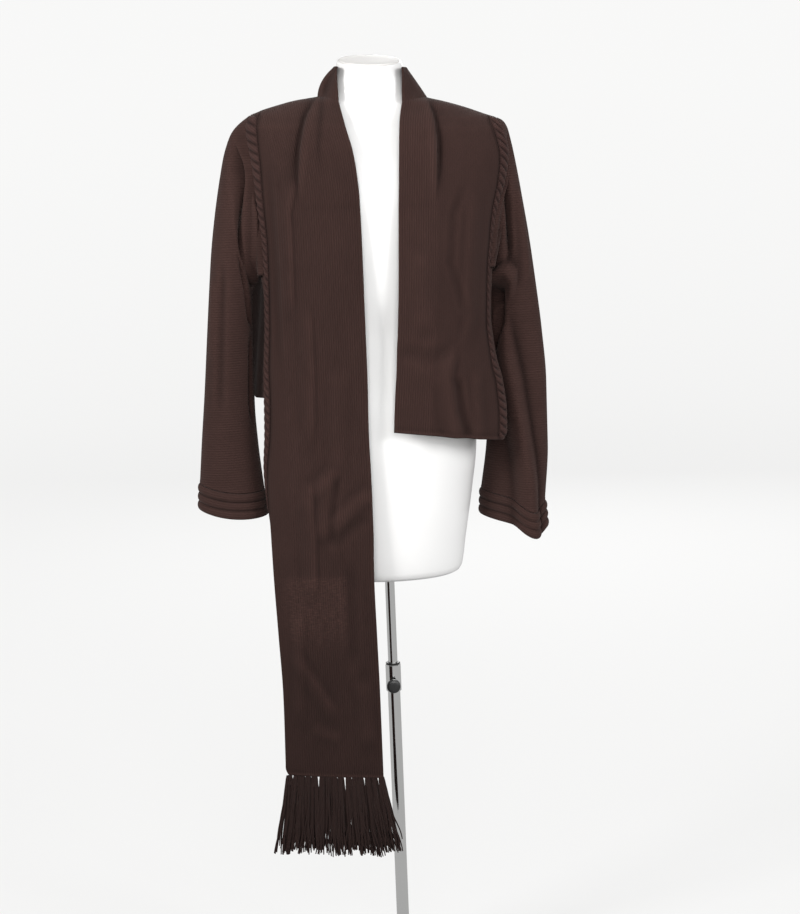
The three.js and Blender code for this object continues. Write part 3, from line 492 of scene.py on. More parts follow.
def wall(name, grid, low, high, material, knit, closed=False, wear=None, outward=1, hollow=0.0):
    """A closed wall of cloth on a grid: two skins, joined round their edges, with painted shade in its
    crevices.
    """
    rows, columns = grid.shape[:2]
    normal = normals_of(grid, closed) * outward
    low, high = (np.broadcast_to(np.asarray(v, float), (rows, columns))[..., None] for v in (low, high))
    skins = np.concatenate([(grid + normal * high).reshape(-1, 3), (grid + normal * low).reshape(-1, 3)])
    # painted shade: darker in the crevices of the outer skin and lighter on its crests, plus any shade the
    # piece paints itself
    hollow = np.clip(hollow_of(grid + normal * high, normal, closed) + hollow, -0.5, 1)
    count = rows * columns
    faces = [grid_faces(rows, columns, closed, 0, outward < 0),
             grid_faces(rows, columns, closed, count, outward > 0)]
    rims = [np.arange(columns), (rows - 1) * columns + np.arange(columns)]
    if closed:
        rims = [np.append(rim, rim[0]) for rim in rims]
        loops = [rims[0][::-1], rims[1]]
    else:
        left = np.arange(rows) * columns
        loops = [rims[0][::-1], left, rims[1], (left + columns - 1)[::-1]]
    for loop in loops:
        a, b = loop[:-1], loop[1:]
        quad = np.stack([a, a + count, b + count, b], -1)
        faces.append(quad if outward > 0 else quad[:, ::-1])
    knit, hollow = np.tile(knit.reshape(-1, 3), (2, 1)), np.tile(np.ravel(hollow), 2)
    wear = None if wear is None else np.tile(np.ravel(wear), 2)
    return build(name, skins, np.concatenate(faces), material, knit, wear, hollow=hollow)


def panel(name, grid, thick, knit, **settings):
    """A wall of knit whose middle stays half a cloth's thickness outside the grid."""
    return wall(name, grid, (CLOTH - thick) / 2, (CLOTH + thick) / 2, knit_cloth, knit, **settings)


def thin_edges(thick, distances, least=0.4, reach=2.0, bead=0.9):
    """Wall thickness that rounds off near the edges with a small bead, from the nearest edge's distance."""
    share = np.clip(distances / reach, 0, 1)
    roll = np.clip(1 - ((distances - 2.2) / 2.2) ** 2, 0, 1)
    return thick * lerp(least, 1, np.sqrt(1 - (1 - share) ** 2)) + bead * roll ** 2


def turned(name, profile, material, segments, crease=35):
    """A turned piece from (radius, height) pairs."""
    angles = circle(segments)
    points = np.concatenate([point(r * np.cos(angles), r * np.sin(angles), z) for r, z in profile])
    faces = grid_faces(len(profile), segments, True, 0, True)
    piece = build(name, points, faces, material, crease=crease)
    mesh = piece.data
    bm = bmesh.new()
    bm.from_mesh(mesh)
    bmesh.ops.remove_doubles(bm, verts=bm.verts, dist=WELD * MM)
    bmesh.ops.recalc_face_normals(bm, faces=bm.faces)
    bm.to_mesh(mesh)
    bm.free()
    mesh.set_sharp_from_angle(angle=math.radians(crease))
    return piece


# ---- materials ----
def shader(name):
    material = bpy.data.materials.new(name)
    material.use_nodes = True
    nodes = material.node_tree.nodes
    nodes.clear()
    output = nodes.new("ShaderNodeOutputMaterial")
    bsdf = nodes.new("ShaderNodeBsdfPrincipled")
    material.node_tree.links.new(bsdf.outputs[0], output.inputs[0])
    return material, bsdf


class Nodes:
    """A short way to write chains of shader nodes."""

    def __init__(self, material):
        self.tree = material.node_tree

    def add(self, kind, *inputs, out=0, **settings):
        node = self.tree.nodes.new("ShaderNode" + kind)
        for key, value in settings.items():
            setattr(node, key, value)
        for socket, value in zip(node.inputs, inputs):
            if value is None:
                continue
            if isinstance(value, bpy.types.NodeSocket):
                self.tree.links.new(value, socket)
            else:
                socket.default_value = value
        return node.outputs[out]

    def maths(self, operation, *values):
        return self.add("Math", *values, operation=operation)

    def noise(self, vector, scale, detail=2.0, rough=0.5):
        return self.add("TexNoise", vector, None, scale, detail, rough)

    def stretch(self, vector, x, y, z):
        return self.add("VectorMath", vector, (x, y, z), operation="MULTIPLY")

    def ramp(self, value, low, high, dark, light):
        """Maps a value from low..high to dark..light."""
        return self.add("MapRange", value, low, high, dark, light)

    def tint(self, colour, factor, bsdf):
        """The shader's colour: one colour, lighter or darker by a factor."""
        tint = self.add("VectorMath", colour, None, None, factor, operation="SCALE")
        self.tree.links.new(tint, bsdf.inputs["Base Color"])

    def bump(self, height, strength, distance, bsdf):
        node = self.tree.nodes.new("ShaderNodeBump")
        node.inputs["Strength"].default_value = strength
        node.inputs["Distance"].default_value = distance
        self.tree.links.new(height, node.inputs["Height"])
        self.tree.links.new(node.outputs[0], bsdf.inputs["Normal"])


def settle(bsdf, settings):
    """Puts plain values on a shader's own sockets."""
    for key, value in settings.items():
        bsdf.inputs[key].default_value = value


def knit_material(name, base, rib, stitch, depth):
    """Matt knitted yarn: ribs across the first knit direction, stitches along the second."""
    material, bsdf = shader(name)
    n = Nodes(material)
    knit = n.add("Attribute", attribute_name="knit", out=1)
    across, along, ribbed = n.add("SeparateXYZ", knit).node.outputs
    wander = n.noise(n.stretch(knit, 0.03, 0.012, 0), 1.0, 2.0)
    across = n.maths("MULTIPLY_ADD", wander, 1.6, across)
    wale = n.maths("ABSOLUTE", n.maths("SINE", n.maths("MULTIPLY", across, math.pi / rib)))
    patchy = n.noise(n.stretch(knit, 0.06, 0.025, 0), 1.0, 3.0, 0.6)
    wale = n.maths("MULTIPLY", wale, n.ramp(patchy, 0.3, 0.7, 0.5, 1.0))
    half = n.maths("PINGPONG", across, rib / 2)
    slant = n.maths("MULTIPLY_ADD", half, 2.1 / rib, n.maths("MULTIPLY", along, 1 / stitch))
    course = n.maths("SINE", n.maths("MULTIPLY", slant, 2 * math.pi))
    deep = n.ramp(ribbed, 0, 1, 0.28, 1.0)
    wale = n.maths("MULTIPLY", wale, deep)
    fuzz = n.noise(n.stretch(knit, 1, 1, 0), 1.1, 3.0, 0.7)
    height = n.maths("MULTIPLY_ADD", course, 0.10, n.maths("MULTIPLY_ADD", fuzz, 0.55, wale))
    n.bump(height, 0.85, depth * MM, bsdf)
    position = n.add("TexCoord", out=3)
    cloud = n.noise(n.stretch(position, 1, 1, 0.45), 9.0, 3.0, 0.55)
    # painted shade: the grooves of the knit's bump darker and its tops lighter
    shade = n.ramp(height, 0.1, 1.5, 0.70, 1.24)
    shade = n.maths("MULTIPLY", shade, n.ramp(cloud, 0.25, 0.75, 0.90, 1.10))
    # a lighter patch and painted highlight streaks: the colour lightened in streaks and flecks
    lighter_patch_and_highlight = n.add("Attribute", attribute_name="wear", out=2)
    streaks = n.noise(n.stretch(knit, 0.09, 0.42, 0), 1.0, 3.0, 0.65)
    flecks = n.noise(n.stretch(knit, 0.22, 0.8, 0), 1.0, 2.0, 0.6)
    bright = n.maths("MULTIPLY", n.ramp(streaks, 0.42, 0.60, 0.0, 1.0),
                     n.ramp(flecks, 0.40, 0.60, 0.2, 1.0))
    shade = n.maths("MULTIPLY_ADD", lighter_patch_and_highlight, n.maths("MULTIPLY_ADD", bright, 0.85, 0.06), shade)
    # painted shade: the colour darker where the cloth is hollow or shaded, and lighter on crests
    hollow = n.add("Attribute", attribute_name="hollow", out=2)
    shade = n.maths("MULTIPLY", shade, n.maths("MULTIPLY_ADD", hollow, -0.45, 1.0))
    n.tint(base, shade, bsdf)
    settle(bsdf, {"Roughness": 0.93, "Specular IOR Level": 0.1, "Sheen Weight": 0.06,
                  "Sheen Roughness": 0.45, "Sheen Tint": (0.75, 0.62, 0.58, 1)})
    return material


def plain_material(name, colour, roughness, metallic=0.0, grain=0.0, coat=0.0, spread=0.06):
    """A hard surface with fine unevenness in its gloss and colour."""
    material, bsdf = shader(name)
    n = Nodes(material)
    position = n.add("TexCoord", out=3)
    cloud = n.noise(position, 14.0, 4.0, 0.6)
    gloss = n.ramp(cloud, 0.3, 0.7, roughness * (1 - spread * 3), roughness * (1 + spread * 3))
    n.tree.links.new(gloss, bsdf.inputs["Roughness"])
    n.tint(colour, n.ramp(cloud, 0.25, 0.75, 1 - spread / 3, 1.0), bsdf)
    settle(bsdf, {"Metallic": metallic, "Coat Weight": coat, "Coat Roughness": 0.15})
    if grain:
        n.bump(n.noise(position, 900.0, 2.0), grain, 0.2 * MM, bsdf)
    return material


BROWN = (0.0302, 0.0155, 0.0131)
knit_cloth = knit_material("knit_cloth", BROWN, RIB_PITCH, 2.6, 1.1)
knit_cable = knit_material("knit_cable", (0.0312, 0.0160, 0.0139), 3.2, 2.8, 0.6)
# painted shade: the fringe's yarn darker than the cloth, for the shade inside its tassels
yarn = knit_material("yarn", (0.0185, 0.0100, 0.0086), 1.3, 1.8, 0.35)
shell_white = plain_material("shell_white", (0.67, 0.667, 0.66), 0.36, grain=0.12, coat=0.15)
cap_white = plain_material("cap_white", (0.55, 0.54, 0.525), 0.5, grain=0.1)
chrome = plain_material("chrome", (0.80, 0.80, 0.79), 0.09, metallic=1.0, spread=0.1)
black = plain_material("black", (0.012, 0.012, 0.012), 0.42, grain=0.5)


# ---- cloth pieces ----
def fine_line(step, length, edge=(0.0, 0.35, 0.9, 1.8, 3.0)):
    """Places along a length, closer at both ends so that the cloth's edges can round off."""
    middle = np.linspace(edge[-1], length - edge[-1], max(3, round((length - 2 * edge[-1]) / step)))
    return np.concatenate([edge[:-1], middle, length - np.array(edge[:-1])[::-1]]) / length


def knit_of(across, along, ribbed):
    """Knit directions of each point: across the ribs, along them, and how ribbed it is."""
    return np.stack(np.broadcast_arrays(across, along, ribbed), -1).astype(float)


def line_at(distance, place, width):
    """1 at a place, fading to nothing on each side of it."""
    return np.exp(-((distance - place) / width) ** 2)


def front(side, name, columns_step, rows_step):
    """A front panel with its rib and its hem, with painted shade along its hem, its cable's edge and its
    band's step; on the wearer's right also along a pleat, on its ribs and towards its bottom, with a lighter
    patch and painted highlight streaks.
    """
    length = FRONT_NECK - sum(CUTS[side]) / 2
    shares = fine_line(columns_step, FRONT_WIDTH)
    downs = fine_line(rows_step, length) ** 1.15
    grid, distance, height = front_grid(side, shares, downs)
    grid[0, :, 1] -= SEAM / 2
    edges = EDGES[side]
    inner = read(edges, height, "inner")
    from_edge = distance - inner
    hem = ((1 - downs) * length)[:, None]
    to_edge = np.minimum(np.minimum(shares, 1 - shares)[None, :] * FRONT_WIDTH, hem)
    thick = thin_edges(CLOTH, to_edge) + HEM_BEAD * np.clip(1 - ((hem - 3.4) / 3.2) ** 2, 0, 1)
    ribbed = smooth(RIB_WIDTH[side] + 4, RIB_WIDTH[side] - 4, from_edge)
    # painted shade: a dark line above the hem's bead
    hollow = 0.4 * np.clip(1 - ((hem - 8.5) / 2.5) ** 2, 0, 1)
    wide = read(edges, height, "outer") - inner
    cable_share = read(CABLE_WIDTH, height, side) / FRONT_WIDTH
    cable_edge = inner + wide * (1 - cable_share ** EDGE_CROWDING)
    # painted shade: a dark line where the cable meets the front
    hollow = hollow + 0.9 * line_at(distance, cable_edge, 2.4) * (height > CABLE_WIDTH["key"][0])
    # painted shadow of the collar band's step on the front beside it
    line = read(BAND, height, side) + 2.5
    beside = line_at(distance, line, np.where(distance > line, 13, 2.2))
    hollow = hollow + 1.1 * beside * smooth(1325, 1390, height)
    wear = np.zeros_like(distance)
    if side < 0:
        pleat = lerp(77, 84, smooth(FRONT_NECK, 1400, height))
        # painted shade along the pleat
        hollow = hollow + 0.75 * line_at(distance, pleat, 5.0) * smooth(1360, 1425, height)
        # painted shade: the ribbed band darker, and the scarf darker towards the bottom where the light falls
        # off
        hollow = hollow + 0.22 * ribbed + 0.55 * smooth(900, 480, height)
        # a lighter patch low on the scarf
        wear = patch(distance, height)
        # painted highlight streaks along two fold ridges
        wear = wear + fold(distance, height, [(156, 592), (128, 546), (100, 498)], 7, 7, 0.5)
        wear = wear + fold(distance, height, [(130, 459), (92, 452)], 6, 6, 0.3)
    return panel(name, grid, thick, knit_of(from_edge, height, ribbed), wear=wear, outward=side,
                 hollow=hollow)


def patch(distance, height):
    """The lighter patch low on the scarf front."""
    wide = smooth(66, 74, distance) * smooth(182, 150, distance)
    tall = smooth(575, 650, height) * smooth(727, 719, height)
    return wide * tall


def cable(side, name, until, step=1.0):
    """The twisted border on a front's outer margin."""
    outer_bottom = CUTS[side][1]
    top = ridge_height(EDGES[side]["outer"][-1], side)
    long = top - max(until, outer_bottom)
    downs = np.linspace(0.004, long / (top - outer_bottom), round(long / step))[:, None]
    height = lerp(top, outer_bottom, downs)
    width = read(CABLE_WIDTH, height, side)
    across = np.linspace(-1, 1, 17)[None, :]
    shares = lerp(1 - width / FRONT_WIDTH, 0.995, (across + 1) / 2)
    grid, distance, _ = front_grid(side, shares, np.broadcast_to(downs, shares.shape))
    run = height.max() - height
    twist = run / CABLE_PITCH - side * 0.55 * across
    strand = np.abs(np.sin(math.pi * twist)) ** 0.6
    envelope = np.sqrt(np.clip(1 - across ** 2, 0, 1)) ** 0.8
    size = np.clip(width / 15, 0.25, 1)
    ends = np.clip(np.minimum(run, run.max() - run) / 6, 0.1, 1)
    high = 0.3 + (envelope * (0.5 + CABLE_RISE * strand)) * size * ends
    low = CLOTH + SEAM
    # painted shade: darker between and beside the cable's strands
    hollow = np.clip(1.45 - 1.75 * envelope * strand, 0, 1)
    return wall(name, grid, low, low + high, knit_cable, knit_of(distance + run * 0.8, run, 1.0),
                outward=side, hollow=hollow)


def neck_across(side, along):
    """Distance from the middle where the collar's foot runs down a front's neck edge."""
    return lerp(NECK_HALF[side], EDGES[-1]["inner"][-1], along ** 1.6)


def neckline(turn):
    """The neckline from -1 at the short front round the nape to 1 at the long front."""
    turn = np.asarray(turn, float)
    result = np.zeros(turn.shape + (3,))
    for side in (-1, 1):
        mask = (turn >= 0) if side < 0 else (turn < 0)
        reach = np.abs(turn[mask])
        across = neck_across(side, np.clip((reach - NAPE_SHARE) / (1 - NAPE_SHARE), 0, 1))
        on_front = front_point(side, across, front_top(across, side))
        angle = reach / NAPE_SHARE * math.pi / 2
        on_back = leaned(side * NECK_HALF[side] * np.sin(angle), NAPE_DEPTH * np.cos(angle),
                         np.full(angle.shape, float(NAPE)))
        result[mask] = np.where((reach > NAPE_SHARE)[:, None], on_front, on_back)
    return result


def neck_slope(turn):
    """The way the cloth runs up into the collar: along the front where the front is, else upright."""
    result = np.zeros(turn.shape + (3,))
    result[:, 2] = 1
    for side in (-1, 1):
        mask = ((turn >= 0) if side < 0 else (turn < 0)) & (np.abs(turn) > NAPE_SHARE)
        along = (np.abs(turn[mask]) - NAPE_SHARE) / (1 - NAPE_SHARE)
        across = neck_across(side, along)
        top = front_top(across, side)
        tangent = unit(front_point(side, across, top) - front_point(side, across, top - 5))
        result[mask] = lerp(result[mask], tangent, smooth(0.1, 0.6, along)[:, None])
    return unit(result)


def collar(name):
    """The rolled rib collar, from the neckline up round the form's neck."""
    long, tall = COLLAR.long, COLLAR.tall
    turn = lerp(-1, 1, fine_line(2.4, long))
    rise = fine_line(2.2, tall)[:, None]
    foot = neckline(turn)
    reach = np.abs(turn)
    outwards = unit(foot * [1, 1, 0])
    ahead = smooth(0.72, 0.9, reach)
    foot = foot + outwards * lerp(1.5, 0.0, ahead)[:, None]
    foot[:, 2] += lerp(0.8, 0.15, ahead)
    end = reach ** 12
    wide = lerp(COLLAR.wide, COLLAR.end_wide, end)
    deep = lerp(COLLAR.deep, COLLAR.end_deep, end)
    top = leaned(foot[:, 0] * wide, foot[:, 1] * deep, np.full(turn.shape, float(COLLAR.top)))
    upright = foot + neck_slope(turn) * COLLAR.bow
    follow = np.maximum(0.85 * smooth(-0.9, 0.4, turn), 0.8 * smooth(0.78, 0.95, reach))
    bow = lerp((foot + top) / 2, upright, follow[:, None])
    r = rise[..., None]
    grid = foot * (1 - r) ** 2 + bow * 2 * r * (1 - r) + top * r ** 2
    to_edge = np.minimum((1 - rise) * tall, ((1 - reach) * long / 2)[None, :])
    along = np.cumsum(np.append(0, np.linalg.norm(np.diff(grid[0], axis=0), axis=1)))
    from_end = np.minimum(along, along[-1] - along)
    # painted shade: the whole collar a little darker
    return panel(name, grid, thin_edges(CLOTH, to_edge), knit_of(from_end[None, :], rise * tall, 1.0),
                 outward=-1, hollow=0.15)


def armhole(side, turn):
    """The armhole loop: 0 at the shoulder, forwards to 0.5 at the underarm, and up the back."""
    front_half = turn <= 0.5
    down = np.where(front_half, turn * 2, (1 - turn) * 2)
    slow = np.sin(down * math.pi / 2) ** 1.5
    share = lerp(down, slow, 0.4)
    result = np.zeros(turn.shape + (3,))
    under = smooth(0.5, 0.95, down)[:, None]
    for mask, edge in ((front_half, FRONT_EDGE[side]), (~front_half, BACK_EDGE[side])):
        height = lerp(edge["point"][0, 2], ARMPIT, share[mask])
        spot = at_height(edge, height, "point")
        out = unit(at_height(edge, height, "out"))
        away = unit(at_height(edge, height, "away"))
        result[mask] = (spot + out * (CLOTH / 2 + SLEEVE.gap_under * under[mask])
                        + away * SLEEVE.gap_top * (1 - under[mask]))
    return result


def sleeve_rings(side, alongs, columns):
    """Rings of a sleeve from its armhole, at 0, to its cuff, at 10, with their folds."""
    turn = np.linspace(0, 1, columns, endpoint=False)
    angle = turn * 2 * math.pi
    alongs = np.asarray(alongs, float)[:, None]
    names = ("outer", "inner", "outerHeight", "innerHeight", "forward", "deep", "turn")
    outer, inner, outer_height, inner_height, forward, deep, swing = (
        read(SLEEVES[side], alongs, column) for column in names)
    swing = np.radians(swing)
    wide, middle = (outer - inner) / 2, (outer + inner) / 2
    tall = (outer_height - inner_height) / 2
    degrees = np.degrees(angle)[None, :]
    scale = SLEEVE.scale
    rise = relief(SLEEVE_FOLDS, side, degrees * scale[0], alongs * scale[1], scale)
    ahead, across = np.sin(angle)[None, :], np.cos(angle)[None, :]
    slant = np.sin(swing) * 0.55
    out_x = deep * across * np.cos(swing) - wide * np.tan(swing) * ahead
    out_y = -wide * ahead - slant * deep * across
    size = np.hypot(out_x, out_y)
    droop = 6 * np.clip(ahead, 0, 1) ** 2 if side < 0 else 17 * line_at(degrees, 44, 26)
    droop = smooth(7.5, 10, alongs) * droop
    rings = point(side * (middle + wide * across - deep * ahead * slant),
                  -forward - deep * ahead * np.cos(swing) - wide * np.tan(swing) * across,
                  (outer_height + inner_height) / 2 + tall * across - droop)
    hole = armhole(side, turn)[None].repeat(len(alongs), 0)
    hole[..., 0] += side * SLEEVE.push * smooth(0, 1.1, alongs)
    high = smooth(0.3, 0.9, np.cos(angle))[None, :]
    hold = smooth(lerp(3.2, 1.3, high), lerp(0.4, 0.0, high), alongs)[..., None]
    push = rise * smooth(0.1, 0.8, alongs) / size
    return rings * (1 - hold) + hole * hold + point(side * push * out_x, push * out_y, 0 * push)


def sleeve(side, name, columns=112, rows=190):
    alongs = 10 * fine_line(SLEEVE_LENGTH / rows, SLEEVE_LENGTH) ** 1.05
    rings = sleeve_rings(side, alongs, columns)
    run = np.cumsum(np.append(0, np.linalg.norm(np.diff(rings, axis=0), axis=2).mean(1)))
    round_ = np.linspace(0, SLEEVE_ROUND, columns, endpoint=False)[None, :]
    thick = thin_edges(CLOTH, np.minimum(run, run[-1] - run)[:, None], least=0.6)
    return wall(name, rings, -thick / 2, thick / 2, knit_cloth,
                knit_of(-rings[..., 2] * ROW_SCALE, round_, 0.6), closed=True, outward=-side)


def cuff(side, name, columns=112):
    """Turned welts that carry on from a sleeve's last ring."""
    tall = CUFF.welts * CUFF.welt
    last = sleeve_rings(side, [10.0], columns)[0]
    middle = last.mean(0)
    out = (last - middle) * [1, 1, 0]
    length = np.linalg.norm(out, axis=1, keepdims=True)
    share = fine_line(0.9, tall, edge=(0, 0.3, 0.8, 1.5))[:, None]
    rings = middle + out * (1 + CUFF.flare * share[..., None] / length)
    rings[..., 2] = last[:, 2] - 2 * SEAM - share * tall
    phase = share * CUFF.welts % 1
    roll = np.sqrt(np.clip(1 - (2 * phase - 1) ** 2, 0, 1))
    swell = CLOTH / 4 + CUFF.swell * roll
    swell[0], swell[-1] = CLOTH / 3, CLOTH / 3
    round_ = np.linspace(0, SLEEVE_ROUND, columns, endpoint=False)[None, :]
    # painted shade: darker in the grooves between the welts
    return wall(name, rings, -CLOTH / 2, swell, knit_cloth,
                knit_of(share * round(tall) * ROW_SCALE, round_, 0.6), closed=True, outward=-side,
                hollow=0.9 * (1 - roll) ** 1.5)


# ---- the fringe ----
def strand(points, radius, sides=5):
    """Points and faces of one round thread through a line of points."""
    points = np.asarray(points, float)
    tangent = unit(np.gradient(points, axis=0))
    aside = unit(np.cross(tangent, [0.3, 1, 0.1]))
    other = np.cross(tangent, aside)
    angles = circle(sides)
    radius = np.broadcast_to(np.asarray(radius, float), (len(points),))[:, None, None]
    ring = (points[:, None] + radius * (aside[:, None] * np.cos(angles)[None, :, None]
                                        + other[:, None] * np.sin(angles)[None, :, None]))
    return ring.reshape(-1, 3), grid_faces(len(points), sides, True)


def fringe(name, tassels=15, threads=34):
    """Knotted tassels, each a bundle of threads that spreads and frays towards its end."""
    points, faces, knit, count = [], [], [], 0

    def put(line, radius, sides=5):
        nonlocal count
        p, f = strand(line, radius, sides)
        points.append(p)
        faces.append(f + count)
        length = np.linspace(0, 1, len(line)).repeat(sides) * 140
        knit.append(knit_of(np.tile(np.arange(sides), len(line)) * 1.3, length, 0.6))
        count += len(p)

    for t in range(tassels):
        share = (t + 0.5) / tassels
        x = lerp(FRINGE.left, FRINGE.right, share) + rng.uniform(-1.6, 1.6)
        top = lerp(FRINGE.top_left, FRINGE.top_right, share) - 1.0
        y = FRINGE.depth
        foot_x = lerp(FRINGE.foot_left, FRINGE.foot_right, share) + rng.uniform(-6, 6)
        long = rng.uniform(126, 140) - (10 if t == FRINGE.short_tassel else 0)
        knot = rng.uniform(9, 13)
        spin = rng.uniform(0, math.pi)
        turns = np.linspace(0, 1, 12)
        for loop in range(3):
            a = spin + turns * 2 * math.pi
            line = point(x + (4.2 - 0.5 * loop) * np.cos(a), y + (3.2 - 0.4 * loop) * np.sin(a),
                         top - knot + (loop - 1) * 2.0 + 1.2 * np.sin(a * 2))
            put(line, 1.25)
        for k in range(threads):
            a = rng.uniform(0, 2 * math.pi)
            r = math.sqrt(rng.uniform(0, 1))
            s = np.linspace(0, 1, 20)
            spread = 4.0 + 9.4 * s ** 0.6 - 0.9 * np.clip(s * 9, 0, 1)
            wobble = rng.uniform(-1, 1, 3)
            length = long * (1 - 0.16 * rng.uniform(0, 1) ** 2)
            z = top + 2 - s * length
            line_x = (lerp(x, foot_x, s ** 1.2) + spread * r * math.cos(a)
                      + 3.2 * wobble[0] * np.sin(s * 8 + wobble[1] * 3) * s)
            line_y = (y + 0.62 * spread * r * math.sin(a)
                      + 1.3 * wobble[2] * np.sin(s * 6 + wobble[0] * 3) * s)
            if rng.uniform() < 0.25:
                line_x = line_x + rng.uniform(-9, 9) * smooth(0.6, 1, s)
            put(point(line_x, line_y, z), 1.35 * (1 - 0.3 * s ** 3))
    return build(name, np.concatenate(points), np.concatenate(faces), yarn, np.concatenate(knit))


# ---- the form and its stand ----
def loft(name, rings, material):
    """A closed skin through rings, with a fan of faces over each end."""
    rows, columns = rings.shape[:2]
    low, high = rings[0].mean(0), rings[-1].mean(0)
    points = np.concatenate([rings.reshape(-1, 3), [low], [high]])
    faces = grid_faces(rows, columns, True, 0, True)
    piece = build(name, points, faces, material)
    bm = bmesh.new()
    bm.from_mesh(piece.data)
    bm.verts.ensure_lookup_table()
    base = (rows - 1) * columns
    for i in range(columns):
        j = (i + 1) % columns
        for corners in ((rows * columns, i, j), (rows * columns + 1, base + j, base + i)):
            bm.faces.new([bm.verts[k] for k in corners]).smooth = True
    bmesh.ops.recalc_face_normals(bm, faces=bm.faces)
    bm.to_mesh(piece.data)
    bm.free()
    return piece


def form_ring(height, half, ahead, behind, shift, tilt, columns=128):
    """One ring of the form at a height, rising by the tilt for each millimetre backwards."""
    angle = circle(columns)
    across, back = np.cos(angle), -np.sin(angle)
    y = np.where(back < 0, ahead, behind) * back - shift
    return leaned(half * across, y, height + tilt * y)


def dress_form(name):
    """The form's shell, with a rounded lower edge and a neck that tilts towards its top."""
    heights = np.unique(np.concatenate([
        np.linspace(702, 716, 9), np.linspace(716, 1440, 90), np.linspace(1440, 1549, 60)]))
    rings = np.stack([form_ring(h, *(read(FORM, h, c) for c in ("half", "front", "back", "shift")),
                                NECK_TILT * smooth(1500, 1549, h)) for h in heights])
    return loft(name, rings, shell_white)


def neck_cap(name):
    """The white disc that closes the neck."""
    half, ahead, behind, shift = (FORM[c][-1] for c in ("half", "front", "back", "shift"))
    steps = [(0.3, 0.93), (0.3, 0.94), (2.0, 0.94), (2.6, 0.935), (3.0, 0.92), (3.0, 0.6), (3.0, 0.3)]
    rings = np.stack([form_ring(FORM["key"][-1] + rise, half * s, ahead * s, behind * s, shift, NECK_TILT)
                      for rise, s in steps])
    return loft(name, rings, cap_white)


def stand_pieces():
    """The stand's pieces by the names of their CAD nodes."""
    s = STAND
    thick, low, seat = s.base_thick, s.hub_top + s.gap, s.clamp_top + s.gap
    wide, narrow, lid = s.lower + s.gap, s.upper + s.gap, s.lower_top + s.gap
    profiles = {
        "base_plate": [
            (0, 0), (s.base - 1, 0), (s.base, 1), (s.base, 7), (s.base - 0.9, 9.2), (s.base - 3, thick),
            (s.hub + 4, thick), (s.hub + 1.2, 11.2), (s.hub, 14), (s.hub, s.hub_top - 2),
            (s.hub - 0.6, s.hub_top - 0.6), (s.hub - 2, s.hub_top), (0, s.hub_top)],
        "pole_lower": [
            (s.bore, low), (s.lower, low), (s.lower, s.lower_top), (s.bore, s.lower_top), (s.bore, low)],
        "pole_upper": [(0, s.upper_from), (s.upper, s.upper_from), (s.upper, s.upper_top), (0, s.upper_top)],
        "pole_clamp": [
            (wide, s.clamp_from), (s.clamp - 1, s.clamp_from), (s.clamp, s.clamp_from + 1),
            (s.clamp, s.clamp_top - 1), (s.clamp - 1, s.clamp_top), (narrow, s.clamp_top), (narrow, lid),
            (wide, lid), (wide, s.clamp_from)],
        "pole_ring": [
            (narrow, seat), (s.ring - 0.8, seat), (s.ring, seat + 0.8), (s.ring, seat + s.ring_thick - 0.8),
            (s.ring - 0.8, seat + s.ring_thick), (narrow, seat + s.ring_thick), (narrow, seat)],
        "pole_knob": [
            (0, 0), (4.5, 0), (4.5, 5), (10, 5), (11.2, 5.6), (11.5, 6.8), (11.5, 13.2), (10.8, 14.8),
            (9, 15.8), (6, 16), (0, 16)]}
    segments = {"base_plate": 128, "pole_knob": 48}
    pieces = {node: turned(node + "_fine", profile, black if node in ("pole_ring", "pole_knob") else chrome,
                           segments.get(node, 72)) for node, profile in profiles.items()}
    aim = Matrix.Rotation(math.pi / 2, 4, "X")
    pieces["pole_knob"].data.transform(
        Matrix.Translation((0, -(s.clamp + s.gap) * MM, s.knob_height * MM)) @ aim)
    return pieces


# ---- making everything ----
back_panel = back_grid(np.linspace(-1, 1, 171), crowded(180))[0]
BACK_EDGE = {-1: edge_frame(back_panel, 0, 1), 1: edge_frame(back_panel, -1, -2)}


def make_back(name):
    """The back panel in stockinette."""
    grid, across, down = back_grid(lerp(-1, 1, fine_line(2.6, BACK_WIDTH)),
                                   fine_line(2.9, BACK_LENGTH) ** 1.3)
    half, fallen = BACK_WIDTH / 2, down * BACK_LENGTH
    to_edge = np.minimum((1 - np.abs(across)) * half, BACK_LENGTH - fallen)
    return panel(name, grid, thin_edges(CLOTH, to_edge), knit_of(across * half, fallen, 0.15), outward=-1)


cloth = {
    "back": make_back("bolero_back"),
    "front_right": front(-1, "bolero_front_right", 1.35, 3.9),
    "front_left": front(1, "bolero_front_left", 1.6, 3.0),
    "collar": collar("bolero_collar"),
    "cable_right": cable(-1, "bolero_cable_right", 824),
    "cable_left": cable(1, "bolero_cable_left", 0),
    "sleeve_right": sleeve(-1, "bolero_sleeve_right"),
    "sleeve_left": sleeve(1, "bolero_sleeve_left"),
    "cuff_right": cuff(-1, "bolero_cuff_right"),
    "cuff_left": cuff(1, "bolero_cuff_left"),
    "fringe": fringe("bolero_fringe"),
}
hard = {"form_body": dress_form("form_shell"), "neck_cap": neck_cap("form_neck_cap")} | stand_pieces()

for node, piece in (cloth | hard).items():
    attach(piece, "root")
    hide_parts(node)


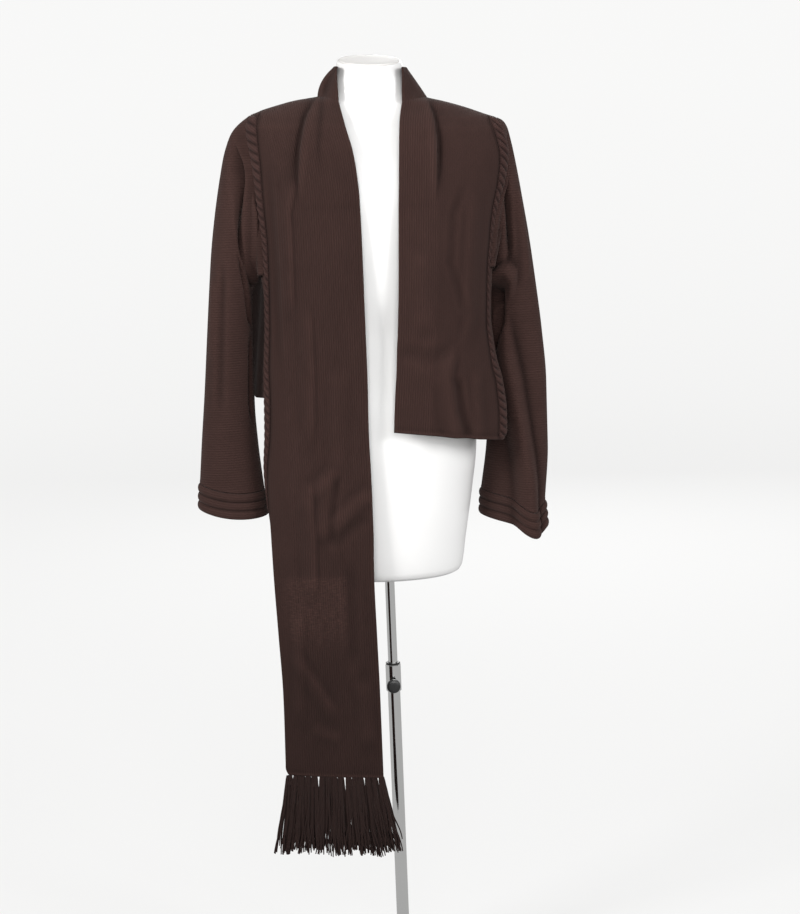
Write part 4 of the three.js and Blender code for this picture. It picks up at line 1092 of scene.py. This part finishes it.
# ---- stage, light and camera ----
def stage():
    """A round pale studio: a floor that curves up into a wall, wide enough for a camera on any side."""
    radius, cove = 9.0, 2.5
    profile = [(0.01, 0.0)] + [(r, 0.0) for r in np.linspace(0.5, radius - cove, 13)]
    profile += [(radius - cove + cove * math.sin(a), cove - cove * math.cos(a))
                for a in np.linspace(0, math.pi / 2, 12)[1:]]
    profile += [(radius, z) for z in (4.0, 6.0, 9.0)] + [(5.0, 12.0), (0.01, 13.0)]
    angles = circle(96)
    points = np.concatenate([point(r * np.cos(angles), r * np.sin(angles), z - 0.0005) for r, z in profile])
    material, bsdf = shader("stage_pale")
    n = Nodes(material)
    place = n.add("TexCoord", out=3)
    away = n.add("VectorMath", place, operation="LENGTH", out=1)
    glow = n.ramp(away, 0.6, 9.0, STUDIO["near"], STUDIO["far"])
    settle(bsdf, {"Base Color": (*STUDIO["pale"], 1), "Roughness": 0.95, "Emission Color": (1, 1, 0.995, 1)})
    n.tree.links.new(glow, bsdf.inputs["Emission Strength"])
    piece = build("studio_floor", points / MM, grid_faces(len(profile), len(angles), True, 0, True), material)
    piece.visible_diffuse = False
    piece.visible_glossy = False
    piece.visible_shadow = False


def area_light(name, place, target, size, power, colour=(1, 1, 1)):
    """A square light aimed at a place, that the camera doesn't see."""
    light = bpy.data.lights.new(name, "AREA")
    light.size = size
    light.energy = power
    light.color = colour
    lamp = bpy.data.objects.new(name, light)
    lamp.location = place
    lamp.visible_camera = False
    lamp.rotation_euler = (Vector(target) - Vector(place)).to_track_quat("-Z", "Y").to_euler()
    bpy.context.scene.collection.objects.link(lamp)


def lights():
    """An even white sky, and soft lights from both sides, the front and behind."""
    world = bpy.data.worlds.new("studio")
    bpy.context.scene.world = world
    world.use_nodes = True
    sky = world.node_tree.nodes["Background"]
    sky.inputs["Color"].default_value = (1.0, 1.0, 1.0, 1)
    sky.inputs["Strength"].default_value = 0.48
    area_light("key", (-2.7, -2.0, 2.7), (0, 0, 1.6), 1.0, 120, (1.0, 0.99, 0.98))
    area_light("fill", (2.7, -2.1, 2.4), (0, 0, 1.6), 1.2, 88, (0.99, 0.99, 1.0))
    area_light("front", (0.1, -3.6, 2.0), (0, 0, 1.6), 2.0, 84)
    area_light("back", (0.5, 4.0, 2.2), (0, 0, 1.1), 1.8, 62)


def camera():
    """The photograph's viewpoint: 3.13 m away, 1.45 m up, looking 10 degrees down, rolled 2.2 degrees."""
    upright, roll = math.radians(90 - 10), math.radians(2.2)
    lens = bpy.data.cameras.new("camera")
    lens.sensor_fit = "HORIZONTAL"
    lens.sensor_width = 36
    lens.lens = 85.5
    lens.clip_end = 50
    view = bpy.data.objects.new("camera", lens)
    view.matrix_world = (Matrix.Translation((0.0255, -3.13, 1.45)) @ Matrix.Rotation(upright, 4, "X")
                         @ Matrix.Rotation(-roll, 4, "Z"))
    bpy.context.scene.collection.objects.link(view)
    bpy.context.scene.camera = view


stage()
lights()
camera()
bpy.context.scene.view_settings.view_transform = "Standard"
